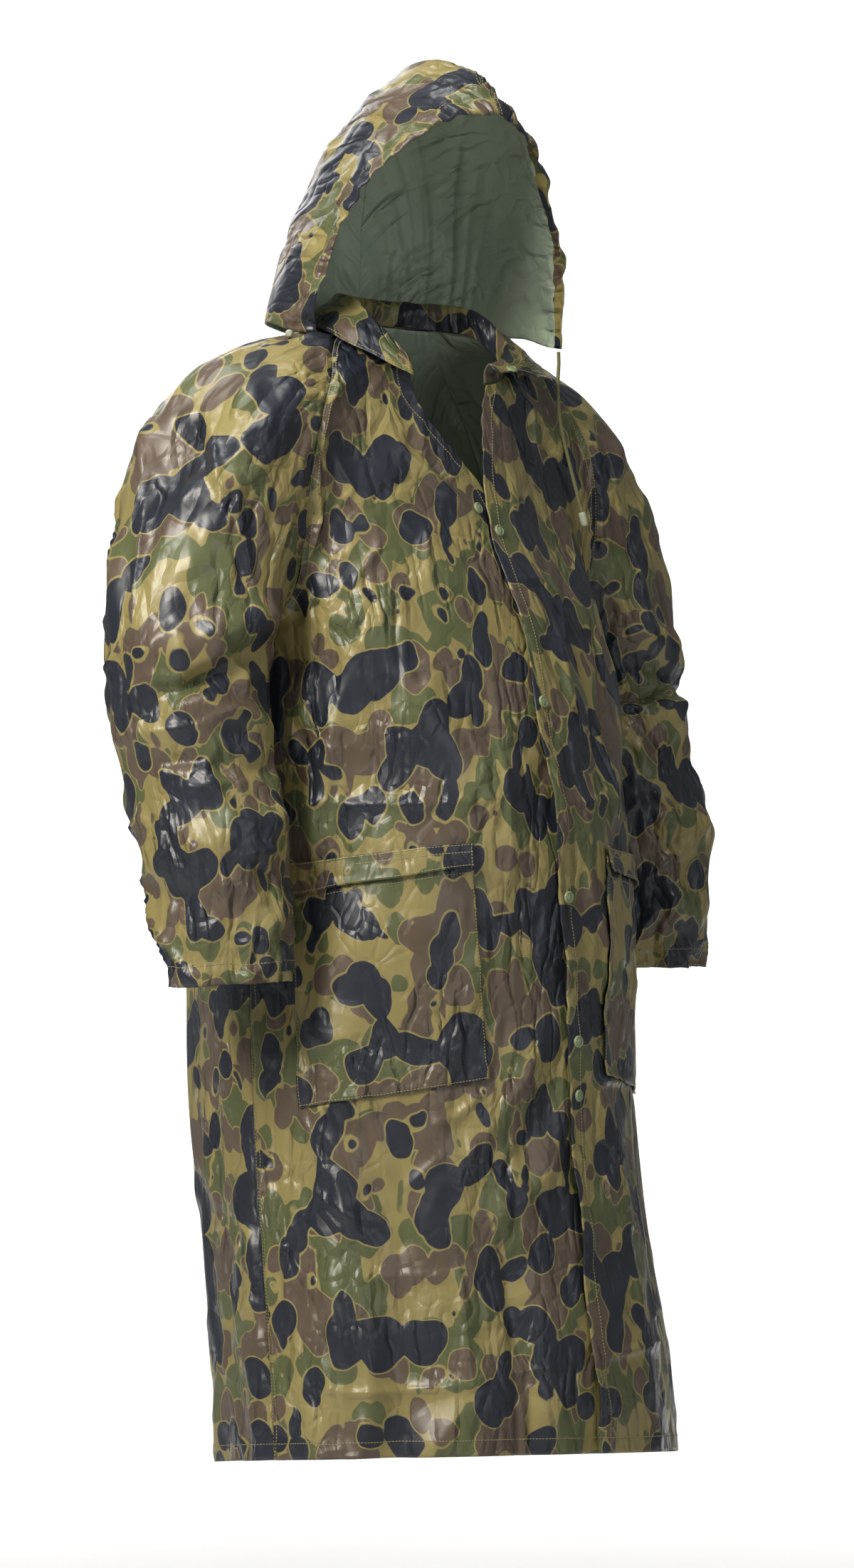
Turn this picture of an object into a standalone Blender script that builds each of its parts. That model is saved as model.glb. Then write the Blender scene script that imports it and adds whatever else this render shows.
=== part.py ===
"""Hooded raincoat in worn form: fronts, back, raglan sleeves, hood, collar, pockets, snaps and cords.

Metres, +Z up, front faces -Y, the wearer's left is +X.
The origin is the middle of the neckline, where the shoulders carry the coat.
"""
import math

import bmesh
import bpy
import numpy as np
from mathutils import Matrix, Vector

# Cloth and making
WALL = 0.0015            # coated cloth, doubled at its seams and hems
SEAM_GAP = 0.0003        # room between two pieces that meet
LAP_RISE = 0.0042        # the left front lies this far out over the right front
LAP_FLAT = 0.052         # width over which the lap keeps that rise
LAP_REACH = 0.095        # width at which it is back on the body

# Heights
HEM_Z = -1.1915          # middle height of the hem
HEM_LIFT = 0.0235        # the front of the hem is higher and the back lower by this
HEM_TILT = 0.0253        # the wearer's right side of the hem is higher and the left lower by this
SIDE_BEND_Z = -0.60      # above this the side seam bends to the underarm
EDGE_AT_UNDERARM = -0.335   # height at the middle of the row that meets the underarm
NECK_SIDE_Z = 0.046
NECK_BACK_Z = 0.056
NECK_FRONT_Z = -0.020
NECK_CENTRE_Y = 0.012
NECK_CALM_Z = 0.03       # no folds above this, all of them NECK_CALM_REACH below it
NECK_CALM_REACH = 0.08
LOW_SHARE = 0.70         # share of a panel's rows below the underarm
SHOULDER_FRONT = math.radians(80)    # where the raglan seams meet the neckline
SHOULDER_BACK = math.radians(122)

# Skin
MERGE_HEIGHTS = (-0.300, -0.20)
MERGE_REACH = (0.0005, 0.034)
SLOPE_STEP = 0.0006
SLEEVE_SPHERES = 80
SEAM_POINTS = 60
SEAM_FLAT = 0.008        # no folds nearer than this to a raglan seam
SEAM_CALM = 0.050        # folds grow over this distance past it
ROOM_LEAST = 0.010
ROOM_REACH = 0.035
BODY_MEAN_RADIUS = 0.24
SLEEVE_MEAN_RADIUS = 0.085
SLEEVE_LENGTH = 0.86
FOLD_TAPER = 3.2
FOLD_SHARPNESS = 1.6

# Body rings, hem to neck: z, half width, front depth, back depth, middle, squareness
BODY_RINGS = (
    (-1.225, 0.282, 0.211, 0.205, -0.057, 2.05),
    (-1.100, 0.275, 0.212, 0.206, -0.043, 2.05),
    (-0.950, 0.262, 0.216, 0.210, -0.016, 2.05),
    (-0.820, 0.252, 0.226, 0.216, 0.006, 2.10),
    (-0.690, 0.246, 0.232, 0.219, 0.018, 2.10),
    (-0.600, 0.243, 0.234, 0.212, 0.022, 2.20),
    (-0.500, 0.240, 0.232, 0.200, 0.026, 2.30),
    (-0.400, 0.238, 0.222, 0.186, 0.034, 2.35),
    (-0.320, 0.235, 0.206, 0.175, 0.038, 2.40),
    (-0.240, 0.242, 0.174, 0.164, 0.040, 2.40),
    (-0.180, 0.240, 0.146, 0.152, 0.040, 2.30),
    (-0.120, 0.226, 0.124, 0.138, 0.036, 2.20),
    (-0.070, 0.200, 0.108, 0.122, 0.030, 2.10),
    (-0.030, 0.160, 0.096, 0.106, 0.024, 2.00),
    (0.005, 0.122, 0.086, 0.090, 0.018, 2.00),
    (0.040, 0.094, 0.078, 0.070, 0.012, 2.00),
    (0.090, 0.080, 0.070, 0.062, 0.012, 2.00),
)

# Sleeve, neck to cuff: x, y on the right, y on the left, z, radius
SLEEVE_STATIONS = (
    (0.070, 0.024, 0.024, -0.014, 0.058),
    (0.150, 0.030, 0.028, -0.046, 0.076),
    (0.226, 0.032, 0.032, -0.088, 0.090),
    (0.270, 0.030, 0.030, -0.148, 0.091),
    (0.302, 0.026, 0.026, -0.216, 0.089),
    (0.330, 0.022, 0.022, -0.294, 0.086),
    (0.338, 0.018, 0.016, -0.372, 0.081),
    (0.338, 0.002, -0.012, -0.450, 0.079),
    (0.337, -0.020, -0.030, -0.526, 0.075),
    (0.336, -0.032, -0.040, -0.602, 0.066),
    (0.335, -0.036, -0.040, -0.664, 0.060),
)

# Raglan seams, neck to underarm: x, y, z
FRONT_SEAM = (
    (0.140, 0.004, 0.004),
    (0.180, -0.018, -0.030),
    (0.214, -0.040, -0.070),
    (0.232, -0.044, -0.120),
    (0.243, -0.034, -0.190),
)
BACK_SEAM = (
    (0.140, 0.098, 0.006),
    (0.186, 0.124, -0.030),
    (0.222, 0.128, -0.075),
    (0.242, 0.104, -0.130),
    (0.246, 0.068, -0.190),
    (0.242, 0.034, -0.245),
)
UNDERARM = (0.241, 0.020, -0.288)

# Front edges: height, side of the middle
RIGHT_EDGE = (
    (-1.250, 0.034),
    (-0.190, 0.034),
    (-0.150, 0.012),
    (-0.125, -0.006),
    (-0.082, -0.052),
    (-0.052, -0.080),
    (-0.020, -0.086),
)
LEFT_EDGE = (
    (-1.250, -0.008),
    (-0.800, -0.008),
    (-0.400, -0.020),
    (-0.200, -0.010),
    (-0.125, 0.000),
    (-0.053, 0.012),
    (-0.020, 0.030),
)

# Folds of the body: angle and height at each end, width, depth (angle 0 is the middle front)
BODY_FOLDS = (
    (-70, -1.25, -62, -0.62, 0.040, 0.009),
    (-52, -1.25, -50, -0.86, 0.026, -0.008),
    (-34, -1.25, -40, -0.75, 0.034, 0.008),
    (-20, -1.25, -22, -0.95, 0.018, -0.009),
    (22, -1.25, 16, -0.80, 0.030, 0.009),
    (40, -1.25, 44, -0.78, 0.034, -0.010),
    (62, -1.25, 60, -0.70, 0.040, 0.010),
    (-24, -0.46, -70, -0.20, 0.034, 0.008),
    (-12, -0.64, -58, -0.40, 0.040, -0.007),
    (20, -0.50, 58, -0.28, 0.034, 0.008),
    (112, -1.25, 108, -0.60, 0.040, -0.010),
    (136, -1.25, 140, -0.55, 0.044, 0.010),
    (160, -1.25, 158, -0.70, 0.036, -0.009),
    (186, -1.25, 182, -0.50, 0.040, 0.009),
    (206, -1.25, 208, -0.75, 0.036, -0.009),
    (230, -1.25, 226, -0.60, 0.044, 0.010),
    (252, -1.25, 250, -0.70, 0.036, -0.008),
    (150, -0.46, 118, -0.22, 0.036, 0.008),
    (210, -0.46, 242, -0.22, 0.036, 0.008),
)

# Folds of a sleeve: angle and share along it at each end, width, depth (0 outward, 90 forward)
SLEEVE_FOLDS = (
    (60, 0.20, 36, 0.50, 0.026, 0.008),
    (20, 0.16, 6, 0.46, 0.026, -0.008),
    (-20, 0.20, -26, 0.50, 0.030, 0.008),
    (128, 0.46, 20, 0.56, 0.022, 0.011),
    (120, 0.52, 10, 0.62, 0.018, -0.009),
    (126, 0.66, 30, 0.60, 0.022, 0.011),
    (120, 0.72, 10, 0.68, 0.018, -0.008),
    (130, 0.78, 40, 0.80, 0.022, 0.009),
    (-40, 0.58, -140, 0.64, 0.024, 0.009),
    (-50, 0.70, -150, 0.76, 0.024, 0.008),
    (60, 0.88, -40, 0.84, 0.024, -0.007),
    (150, 0.86, 80, 0.92, 0.022, 0.006),
)

# Hood from rim to nape: edge x, y and z, crown y and z,
# then rise and spread of the right half and of the left
HOOD_TURN = math.radians(-14)
HOOD_LEAN = 0.35         # share of the way to the crown that the side leans by
HOOD_SECTIONS = (
    (0.160, -0.036, 0.030, -0.160, 0.266, 0.180, 0.080, 0.150, 0.030),
    (0.168, 0.000, 0.036, -0.098, 0.314, 0.120, 0.066, 0.130, 0.034),
    (0.168, 0.044, 0.048, -0.016, 0.335, 0.080, 0.060, 0.110, 0.040),
    (0.146, 0.088, 0.050, 0.060, 0.300, 0.085, 0.074, 0.100, 0.058),
    (0.108, 0.114, 0.046, 0.102, 0.226, 0.080, 0.070, 0.080, 0.066),
    (0.056, 0.128, 0.040, 0.124, 0.140, 0.050, 0.046, 0.050, 0.046),
    (0.012, 0.132, 0.038, 0.130, 0.060, 0.010, 0.010, 0.010, 0.010),
)

# Collar from its left end round the nape to its right end:
# angle, stand, crest, edge angle, edge reach, edge z
COLLAR_ROWS = (
    (12, 0.018, 0.006, 54, 0.160, -0.010),
    (60, 0.022, 0.006, 76, 0.150, 0.026),
    (100, 0.024, 0.006, 102, 0.140, 0.044),
    (140, 0.024, 0.006, 140, 0.118, 0.040),
    (180, 0.024, 0.006, 180, 0.104, 0.036),
    (220, 0.024, 0.006, 220, 0.118, 0.040),
    (260, 0.024, 0.006, 258, 0.140, 0.044),
    (300, 0.018, 0.006, 290, 0.146, 0.014),
    (324, 0.010, 0.006, 314, 0.142, -0.016),
)
COLLAR_FOOT = 0.0012
COLLAR_INSET = 0.0005
COLLAR_CREST = 0.005
COLLAR_BOW = 0.004
COLLAR_CLEAR = 0.0055

# Patch pockets: column and row of the front's grid at the corners,
# lower inner and outer, then upper inner and outer
BAG_CORNERS = ((4.4, 11.4), (10.7, 10.4), (5.0, 18.1), (11.1, 16.9))
BAG_GRID = (8, 8)        # columns and rows
FLAP_CORNERS = ((5.0, 17.7), (11.1, 16.5), (5.0, 18.4), (11.1, 17.4))
FLAP_GRID = (15, 3)
LEFT_SHIFT = -2.4        # the left pocket lies this many columns nearer the closure
BAG_LIFT = 0.0040
BAG_PUFF = 0.0050
FLAP_LIFT = 0.0054
FLAP_FREE_LIFT = 0.0040

# Snaps on the left front: side of its edge and height
SNAP_RADIUS = 0.0066
SNAP_HEIGHT = 0.0026
SNAP_SIDES = 16
SNAP_TOP_SHARE = 0.78
SNAP_INSET = 0.013
SNAP_HEIGHTS = (-0.182, -0.368, -0.576, -0.730, -0.789)
STUD_SPOT = (-4.3, -0.158)
COLLAR_SNAP_ROWS = (3, 5)   # the collar's snap lies among these rows of its first two columns
COLLAR_SNAP_ROOM = 0.0022
SNAP_ROOM = 0.0009       # room under a flat cap on the rounded cloth

# Drawstring ends out of the hood's casing: routes by hand, from the casing down
CORD_DIAMETER = 0.0042
CORD_STEP = 0.0040       # distance between the points of a cord
CORD_ROUTE_RIGHT = (
    (-0.1600, 0.0050, 0.0335),
    (-0.1600, 0.0160, 0.0328),
    (-0.1622, 0.0265, 0.0318),
    (-0.1670, 0.0318, 0.0313),
    (-0.1725, 0.0305, 0.0310),
    (-0.1765, 0.0278, 0.0310),
    (-0.1800, 0.0245, 0.0305),
)
CORD_ROUTE_LEFT = (
    (0.1470, -0.0745, 0.0270),
    (0.1485, -0.0735, 0.0140),
    (0.1510, -0.0700, -0.0050),
    (0.1580, -0.0650, -0.0350),
    (0.1680, -0.0625, -0.0650),
    (0.1760, -0.0650, -0.0950),
    (0.1830, -0.0690, -0.1250),
    (0.1890, -0.0720, -0.1500),
)
CORD_END_RADIUS = 0.0042
CORD_END_LENGTH = 0.016

# Grid sizes, columns and rows
FRONT_GRID = (14, 36)
BACK_GRID = (23, 36)
NECK_COLUMNS = 6         # points of a sleeve's top along the neckline
SLEEVE_ROWS = 25
GRID_SIDES = {
    "first": (np.s_[:, 0], np.s_[:, 1]),
    "last": (np.s_[:, -1], np.s_[:, -2]),
    "start": (np.s_[0], np.s_[1]),
}
TRIM_SHARE = 0.7
UNDERARM_ROOM = 0.0012   # more room where four panels meet under the arm
UNDERARM_REACH = 0.045
HOOD_GRID = (13, 14)
COLLAR_GRID = (30, 9)


def make_material(name, colour, roughness):
    material = bpy.data.materials.new(name)
    material.use_nodes = True
    shader = material.node_tree.nodes["Principled BSDF"]
    shader.inputs["Base Color"].default_value = (*colour, 1.0)
    shader.inputs["Roughness"].default_value = roughness
    return material


def smooth_column(rows, keys, column, at):
    """One column of a table, read between its rows with a curve that keeps their slope."""
    keys = np.asarray(keys, float)
    values = np.asarray([row[column] for row in rows], float)
    slope = np.gradient(values, keys)
    place = np.clip(np.searchsorted(keys, at) - 1, 0, len(keys) - 2)
    span = keys[place + 1] - keys[place]
    t = np.clip((at - keys[place]) / span, 0.0, 1.0)
    h00 = 2 * t**3 - 3 * t**2 + 1
    h10 = t**3 - 2 * t**2 + t
    h01 = -2 * t**3 + 3 * t**2
    h11 = t**3 - t**2
    return (h00 * values[place] + h10 * span * slope[place]
            + h01 * values[place + 1] + h11 * span * slope[place + 1])


def body_ring(z):
    """Half width, front depth, back depth, middle and squareness of the body at height z."""
    heights = [row[0] for row in BODY_RINGS]
    return [smooth_column(BODY_RINGS, heights, column, z) for column in range(1, 6)]


def body_guess(angle, z):
    """Point on the body ring: angle 0 is the middle front, +90 degrees the wearer's left."""
    half, front, back, centre, _square = body_ring(z)
    depth = np.where(np.cos(angle) > 0, front, back)
    return np.stack([half * np.sin(angle), centre - depth * np.cos(angle), z + 0 * angle], axis=-1)


def body_angle(points):
    half, front, back, centre, _square = body_ring(points[..., 2])
    away = points[..., 1] - centre
    depth = np.where(away < 0, front, back)
    return np.arctan2(points[..., 0] / half, -away / depth)


def body_field(points):
    """About the distance outside the plain body ring, and below zero inside it."""
    half, front, back, centre, square = body_ring(points[..., 2])
    away = points[..., 1] - centre
    depth = np.where(away < 0, front, back)
    size = (np.abs(points[..., 0] / half)**square + np.abs(away / depth)**square)**(1 / square)
    return (size - 1) * np.minimum(half, depth)


def arm_station(along, side):
    """Middle and radius of the sleeve at a share of its length; side is -1 on the wearer's right."""
    keys = np.linspace(0, 1, len(SLEEVE_STATIONS))
    y_column = 1 if side < 0 else 2
    x, y, z, radius = [smooth_column(SLEEVE_STATIONS, keys, column, along)
                       for column in (0, y_column, 3, 4)]
    return np.stack([side * x, y, z], axis=-1), radius


def arm_field(points, side):
    middles, radii = arm_station(np.linspace(0, 1, SLEEVE_SPHERES), side)
    nearest = np.full(points.shape[:-1], np.inf)
    for middle, radius in zip(middles, radii):
        nearest = np.minimum(nearest, np.linalg.norm(points - middle, axis=-1) - radius)
    return nearest


def near_arm_field(points):
    return np.where(points[..., 0] < 0, arm_field(points, -1), arm_field(points, 1))


def merge(a, b, reach):
    share = np.clip(0.5 + 0.5 * (b - a) / reach, 0, 1)
    return b + (a - b) * share - reach * share * (1 - share)


def coat_field(points):
    """Body and sleeves as one skin: they run together above the underarm and part below it."""
    reach = np.interp(points[..., 2], MERGE_HEIGHTS, MERGE_REACH)
    return merge(body_field(points), near_arm_field(points), reach)


def slope_of(field, points):
    parts = []
    for axis in range(3):
        shift = np.zeros(3)
        shift[axis] = SLOPE_STEP
        parts.append((field(points + shift) - field(points - shift)) / (2 * SLOPE_STEP))
    return np.stack(parts, axis=-1)


def settle(field, points, turns=6):
    """Move points onto the skin along its slope, and give the way out of it."""
    for _turn in range(turns):
        slope = slope_of(field, points)
        length = np.sum(slope**2, axis=-1) + 1e-9
        points = points - (field(points) / length)[..., None] * slope
    slope = slope_of(field, points)
    return points, slope / np.linalg.norm(slope, axis=-1, keepdims=True)


def soft_step(share):
    share = np.clip(share, 0, 1)
    return share * share * (3 - 2 * share)


def ridge(s, t, start, end, width):
    """Height from 0 to 1 of a soft fold along the line from start to end."""
    line = np.array(end) - np.array(start)
    length = np.linalg.norm(line)
    along = ((s - start[0]) * line[0] + (t - start[1]) * line[1]) / length**2
    across = np.abs((s - start[0]) * line[1] - (t - start[1]) * line[0]) / length
    taper = soft_step(np.minimum(along, 1 - along) * FOLD_TAPER + 0.3)
    return np.exp(-(across / width)**2 * FOLD_SHARPNESS) * taper


def fold_relief(folds, angle, along, radius, length):
    """All folds of a table: angles in degrees round a tube, places along it times its length."""
    relief = 0 * angle
    for angle_a, along_a, angle_b, along_b, width, depth in folds:
        for turn in (0, 2 * math.pi, -2 * math.pi):
            start = ((math.radians(angle_a) + turn) * radius, along_a * length)
            end = ((math.radians(angle_b) + turn) * radius, along_b * length)
            relief = relief + depth * ridge(angle * radius, along * length, start, end, width)
    return relief


def run_along(points, count):
    """The same curve with its points at even distances."""
    points = np.asarray(points, float)
    steps = np.linalg.norm(np.diff(points, axis=0), axis=1)
    reach = np.concatenate([[0], np.cumsum(steps)])
    at = np.linspace(0, reach[-1], count)
    return np.stack([smooth_column(points, reach, axis, at) for axis in range(3)], axis=-1)


def neck_height(angle):
    """Height of the neckline round the body: lowest at the middle front, highest at the nape."""
    turn = np.cos(angle)
    front = NECK_SIDE_Z + (NECK_FRONT_Z - NECK_SIDE_Z) * np.abs(turn)**1.3
    back = NECK_SIDE_Z + (NECK_BACK_Z - NECK_SIDE_Z) * np.abs(turn)
    return np.where(turn > 0, front, back)


def neck_point(angle):
    return body_guess(angle, neck_height(angle))


def raglan_seam(rows, side, neck_angle):
    """Seam on the skin from the neckline to the underarm."""
    line = [neck_point(np.array(side * neck_angle))]
    line += [np.array([side * x, y, z]) for x, y, z in rows]
    line.append(np.array([side * UNDERARM[0], UNDERARM[1], UNDERARM[2]]))
    settled, _out = settle(coat_field, run_along(line, SEAM_POINTS))
    return settled


def seam_fade(points, seams):
    """0 on a raglan seam and 1 away from it, so that folds end at the seam."""
    nearest = np.full(points.shape[:-1], np.inf)
    for seam in seams:
        for knot in seam[::2]:
            nearest = np.minimum(nearest, np.linalg.norm(points - knot, axis=-1))
    return soft_step((nearest - SEAM_FLAT) / SEAM_CALM)


def room_fade(distance):
    """0 where body and sleeve nearly touch and 1 where there is room for a fold."""
    return soft_step((distance - ROOM_LEAST) / ROOM_REACH)


def body_surface(angle, z, seams, shift=0.0):
    """Points of the body's cloth with its folds, and the way out of it."""
    points, out = settle(coat_field, body_guess(angle, z) + shift)
    room = np.where(points[..., 2] < UNDERARM[2], room_fade(near_arm_field(points)), 1.0)
    calm_neck = soft_step((NECK_CALM_Z - points[..., 2]) / NECK_CALM_REACH)
    relief = fold_relief(BODY_FOLDS, angle, z, BODY_MEAN_RADIUS, 1.0)
    relief = relief * seam_fade(points, seams) * room * calm_neck
    return points + out * relief[..., None], out


def hem_height(angle):
    return HEM_Z + HEM_LIFT * np.cos(angle) - HEM_TILT * np.sin(angle)


def side_run(seam, rows, side):
    """Angle, height and shift up the side seam from the hem to the underarm, then up the raglan seam."""
    low = int(rows * LOW_SHARE)
    top = run_along(seam[::-1], rows - low + 1)
    end_angle = float(body_angle(top[:1])[0])
    z_low = np.linspace(HEM_Z, UNDERARM[2], low)
    bend = soft_step((z_low - SIDE_BEND_Z) / (UNDERARM[2] - SIDE_BEND_Z))
    quarter = side * math.pi / 2
    angle_low = quarter + (end_angle - quarter) * bend
    angle = np.concatenate([angle_low, body_angle(top[1:])])
    z = np.concatenate([z_low, top[1:, 2]])
    shift = np.zeros((rows, 3))
    shift[low - 1:] = top - body_guess(angle[low - 1:], z[low - 1:])
    return angle, z, shift, low


def front_grid(side, seam, edge_table):
    """Angle, height and shift of each point of a front: rows up from the hem, columns from the edge."""
    columns, rows = FRONT_GRID
    side_angle, side_z, side_shift, low = side_run(seam, rows, side)
    edge_z = np.concatenate([np.linspace(HEM_Z + HEM_LIFT, EDGE_AT_UNDERARM, low),
                             np.linspace(EDGE_AT_UNDERARM, NECK_FRONT_Z, rows - low + 1)[1:]])
    edge_x = np.interp(edge_z, [row[0] for row in edge_table], [row[1] for row in edge_table])
    edge_angle = np.arcsin(edge_x / body_ring(edge_z)[0])
    across = np.linspace(0, 1, columns)[None, :]
    angle = edge_angle[:, None] * (1 - across) + side_angle[:, None] * across
    z = edge_z[:, None] * (1 - across) + side_z[:, None] * across
    shift = side_shift[:, None, :] * (across**2)[..., None]
    return fit_ends(angle, z, shift, across)


def back_grid(seam_right, seam_left):
    columns, rows = BACK_GRID
    left_angle, left_z, left_shift, low = side_run(seam_left, rows, 1)
    right_angle, right_z, right_shift, _low = side_run(seam_right, rows, -1)
    right_angle = 2 * math.pi + right_angle
    middle_z = np.concatenate([np.linspace(HEM_Z - HEM_LIFT, EDGE_AT_UNDERARM, low),
                               np.linspace(EDGE_AT_UNDERARM, NECK_BACK_Z, rows - low + 1)[1:]])
    across = np.linspace(0, 1, columns)[None, :]
    angle = left_angle[:, None] * (1 - across) + right_angle[:, None] * across
    bow = np.abs(2 * across - 1)**3
    side_z = np.where(across < 0.5, left_z[:, None], right_z[:, None])
    z = middle_z[:, None] * (1 - bow) + side_z * bow
    shift = (left_shift[:, None, :] * (np.clip(1 - 2 * across, 0, 1)**2)[..., None]
             + right_shift[:, None, :] * (np.clip(2 * across - 1, 0, 1)**2)[..., None])
    return fit_ends(angle, z, shift, bow)


def fit_ends(angle, z, shift, at_seam):
    """Bend the lowest rows to the hem, and the highest to the neckline away from the seams."""
    share = np.linspace(0, 1, len(z))[:, None]
    low = (1 - share)**6
    high = share**8 * (1 - at_seam)**0.25
    return angle, z + (hem_height(angle) - z[:1]) * low + (neck_height(angle) - z[-1:]) * high, shift


def trim(points, sides):
    """Draw the named sides of a grid back from the seam line, for the gap between two pieces."""
    points = points.copy()
    for side in sides:
        edge, inner = GRID_SIDES[side]
        step = points[inner] - points[edge]
        corner = np.array([np.copysign(UNDERARM[0], points[edge][0, 0]), *UNDERARM[1:]])
        near = np.exp(-np.sum((points[edge] - corner)**2, axis=-1) / UNDERARM_REACH**2)
        draw = (SEAM_GAP * TRIM_SHARE + UNDERARM_ROOM * near)[:, None]
        points[edge] += step / np.linalg.norm(step, axis=-1, keepdims=True) * draw
    return points


def wall(points, out, lift=0.0):
    """Outer and inner points of a cloth wall whose outer face is lifted off the plain surface."""
    lift = np.broadcast_to(lift, points.shape[:-1])[..., None]
    return points + out * lift, points + out * (lift - WALL)


def arm_frame(along, side):
    """Directions across the sleeve at a share of its length: outward and forward."""
    step = 0.004
    ahead, _radius = arm_station(np.clip(along + step, 0, 1), side)
    behind, _radius = arm_station(np.clip(along - step, 0, 1), side)
    run = ahead - behind
    run = run / np.linalg.norm(run, axis=-1, keepdims=True)
    forward = np.array([0.0, -1.0, 0.0])
    forward = forward - run * np.sum(run * forward, axis=-1, keepdims=True)
    forward = forward / np.linalg.norm(forward, axis=-1, keepdims=True)
    outward = -side * np.cross(run, forward)
    return outward, forward


def arm_guess(along, angle, side):
    """Point on the plain sleeve: angle 0 is outward (or up, on the shoulder), +90 degrees forward."""
    middle, radius = arm_station(along, side)
    outward, forward = arm_frame(along, side)
    way = outward * np.cos(angle)[..., None] + forward * np.sin(angle)[..., None]
    return middle + way * radius[..., None]


def arm_place(points, side):
    """Share along the sleeve and angle round it that lie nearest to each point."""
    shares = np.linspace(0, 1, 4 * SLEEVE_SPHERES)
    middles, radii = arm_station(shares, side)
    gap = np.linalg.norm(points[:, None, :] - middles[None, :, :], axis=-1) - radii[None, :]
    along = shares[np.argmin(gap, axis=1)]
    middle, _radius = arm_station(along, side)
    outward, forward = arm_frame(along, side)
    away = points - middle
    return along, np.arctan2(np.sum(away * forward, axis=-1), np.sum(away * outward, axis=-1))


def sleeve_grid(side, front_seam, back_seam, neck_line):
    """Share along, angle and shift of each point of a sleeve: rows from the shoulder to the cuff."""
    rows = SLEEVE_ROWS
    climb = FRONT_GRID[1] - int(FRONT_GRID[1] * LOW_SHARE) + 1
    loop = np.concatenate([run_along(front_seam[::-1], climb), neck_line[1:-1],
                           run_along(back_seam, climb)])
    columns = len(loop)
    along, angle = arm_place(loop, side)
    half = columns // 2
    turn = 2 * math.pi
    angle[:half] = np.where(angle[:half] < -math.pi / 2, angle[:half] + turn, angle[:half])
    angle[half:] = np.where(angle[half:] > math.pi / 2, angle[half:] - turn, angle[half:])
    shift = loop - arm_guess(along, angle, side)
    steps = np.linalg.norm(np.diff(loop, axis=0), axis=1)
    round_share = np.concatenate([[0], np.cumsum(steps)]) / np.sum(steps)
    end_angle = math.pi - turn * round_share
    down = np.linspace(0, 1, rows)[:, None]
    ease = 1 - (1 - down)**2.5
    down = down**1.25
    return (along[None, :] * (1 - down) + down,
            angle[None, :] * (1 - ease) + end_angle[None, :] * ease,
            shift[None, :, :] * ((1 - down)**4)[..., None])


def sleeve_surface(along, angle, shift, side, seams):
    points, out = settle(coat_field, arm_guess(along, angle, side) + shift)
    below = points[..., 2] < UNDERARM[2] + 0.02
    room = np.where(below, room_fade(body_field(points)), 1.0)
    relief = fold_relief(SLEEVE_FOLDS, angle, along, SLEEVE_MEAN_RADIUS, SLEEVE_LENGTH)
    relief = relief * seam_fade(points, seams) * room
    return points + out * relief[..., None], out


def hood_points(count_along, count_up):
    """Whole hood as a grid: rows from the front rim to the nape, columns from right edge to left edge."""
    keys = np.linspace(0, 1, len(HOOD_SECTIONS))
    share = np.linspace(0, 1, count_along)
    edge_x, edge_y, edge_z, top_y, top_z, *shapes = [
        smooth_column(HOOD_SECTIONS, keys, column, share)[:, None] for column in range(9)]
    up = np.linspace(0, 1, count_up)[None, :]
    u = up[..., None]
    corner = np.stack([edge_x + 0 * up, edge_y + 0 * up, edge_z + 0 * up], axis=-1)
    crown = np.stack([0 * edge_x + 0 * up, top_y + 0 * up, top_z + 0 * up], axis=-1)
    lean = (top_y - edge_y) * HOOD_LEAN
    halves = []
    for side, rise, spread in ((-1.0, *shapes[:2]), (1.0, *shapes[2:])):
        first = corner + np.stack([0 * up + 0 * lean, lean + 0 * up, rise + 0 * up], axis=-1)
        second = crown + np.stack([spread + 0 * up, 0 * up + 0 * spread, 0 * up + 0 * spread], axis=-1)
        half = (1 - u)**3 * corner + 3 * (1 - u)**2 * u * first + 3 * (1 - u) * u**2 * second + u**3 * crown
        halves.append(half * np.array([side, 1.0, 1.0]))
    whole = np.concatenate([halves[0], halves[1][:, -2::-1]], axis=1)
    turn = np.array(Matrix.Rotation(HOOD_TURN, 3, "Z"))
    return whole @ turn.T


def way_out(points):
    """Normals of a grid of points, from its neighbours."""
    run = np.gradient(points, axis=0)
    across = np.gradient(points, axis=1)
    out = np.cross(run, across)
    return out / (np.linalg.norm(out, axis=-1, keepdims=True) + 1e-12)


def collar_points(columns, rows):
    """Collar as a grid: rows from the neck seam over the fold to the free edge."""
    keys = np.radians([row[0] for row in COLLAR_ROWS])
    angle = np.linspace(keys[0], keys[-1], columns)
    stand, crest, edge_angle, edge_reach, edge_z = [
        smooth_column(COLLAR_ROWS, keys, column, angle) for column in range(1, 6)]
    edge_angle = np.radians(edge_angle)
    foot = neck_point(angle)
    centre = np.array([0.0, NECK_CENTRE_Y, 0.0])
    way = np.stack([np.sin(angle), -np.cos(angle), 0 * angle], axis=-1)
    lift = np.array([0.0, 0.0, 1.0])
    foot = foot + lift * COLLAR_FOOT - way * COLLAR_INSET
    inner_top = foot + lift * stand[:, None] + way * 0.3 * crest[:, None]
    top = foot + lift * (stand + COLLAR_CREST)[:, None] + way * crest[:, None]
    outer_top = foot + lift * (stand - 0.25 * COLLAR_CREST)[:, None] + way * 2.1 * crest[:, None]
    edge_way = np.stack([np.sin(edge_angle), -np.cos(edge_angle), 0 * angle], axis=-1)
    edge = centre + edge_way * edge_reach[:, None] + lift * edge_z[:, None]
    middle = 0.5 * (outer_top + edge) + lift * COLLAR_BOW
    grid = []
    for column in range(columns):
        line = [foot[column], inner_top[column], top[column], outer_top[column],
                middle[column], edge[column]]
        grid.append(run_along(line, rows))
    grid = np.stack(grid, axis=1)
    rest = grid[rows // 2:]
    for _turn in range(4):
        slope = slope_of(coat_field, rest)
        short = np.clip(COLLAR_CLEAR - coat_field(rest), 0, None)
        rest = rest + slope * (short / (np.sum(slope**2, axis=-1) + 1e-9))[..., None]
    grid[rows // 2:] = rest
    return grid


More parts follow.
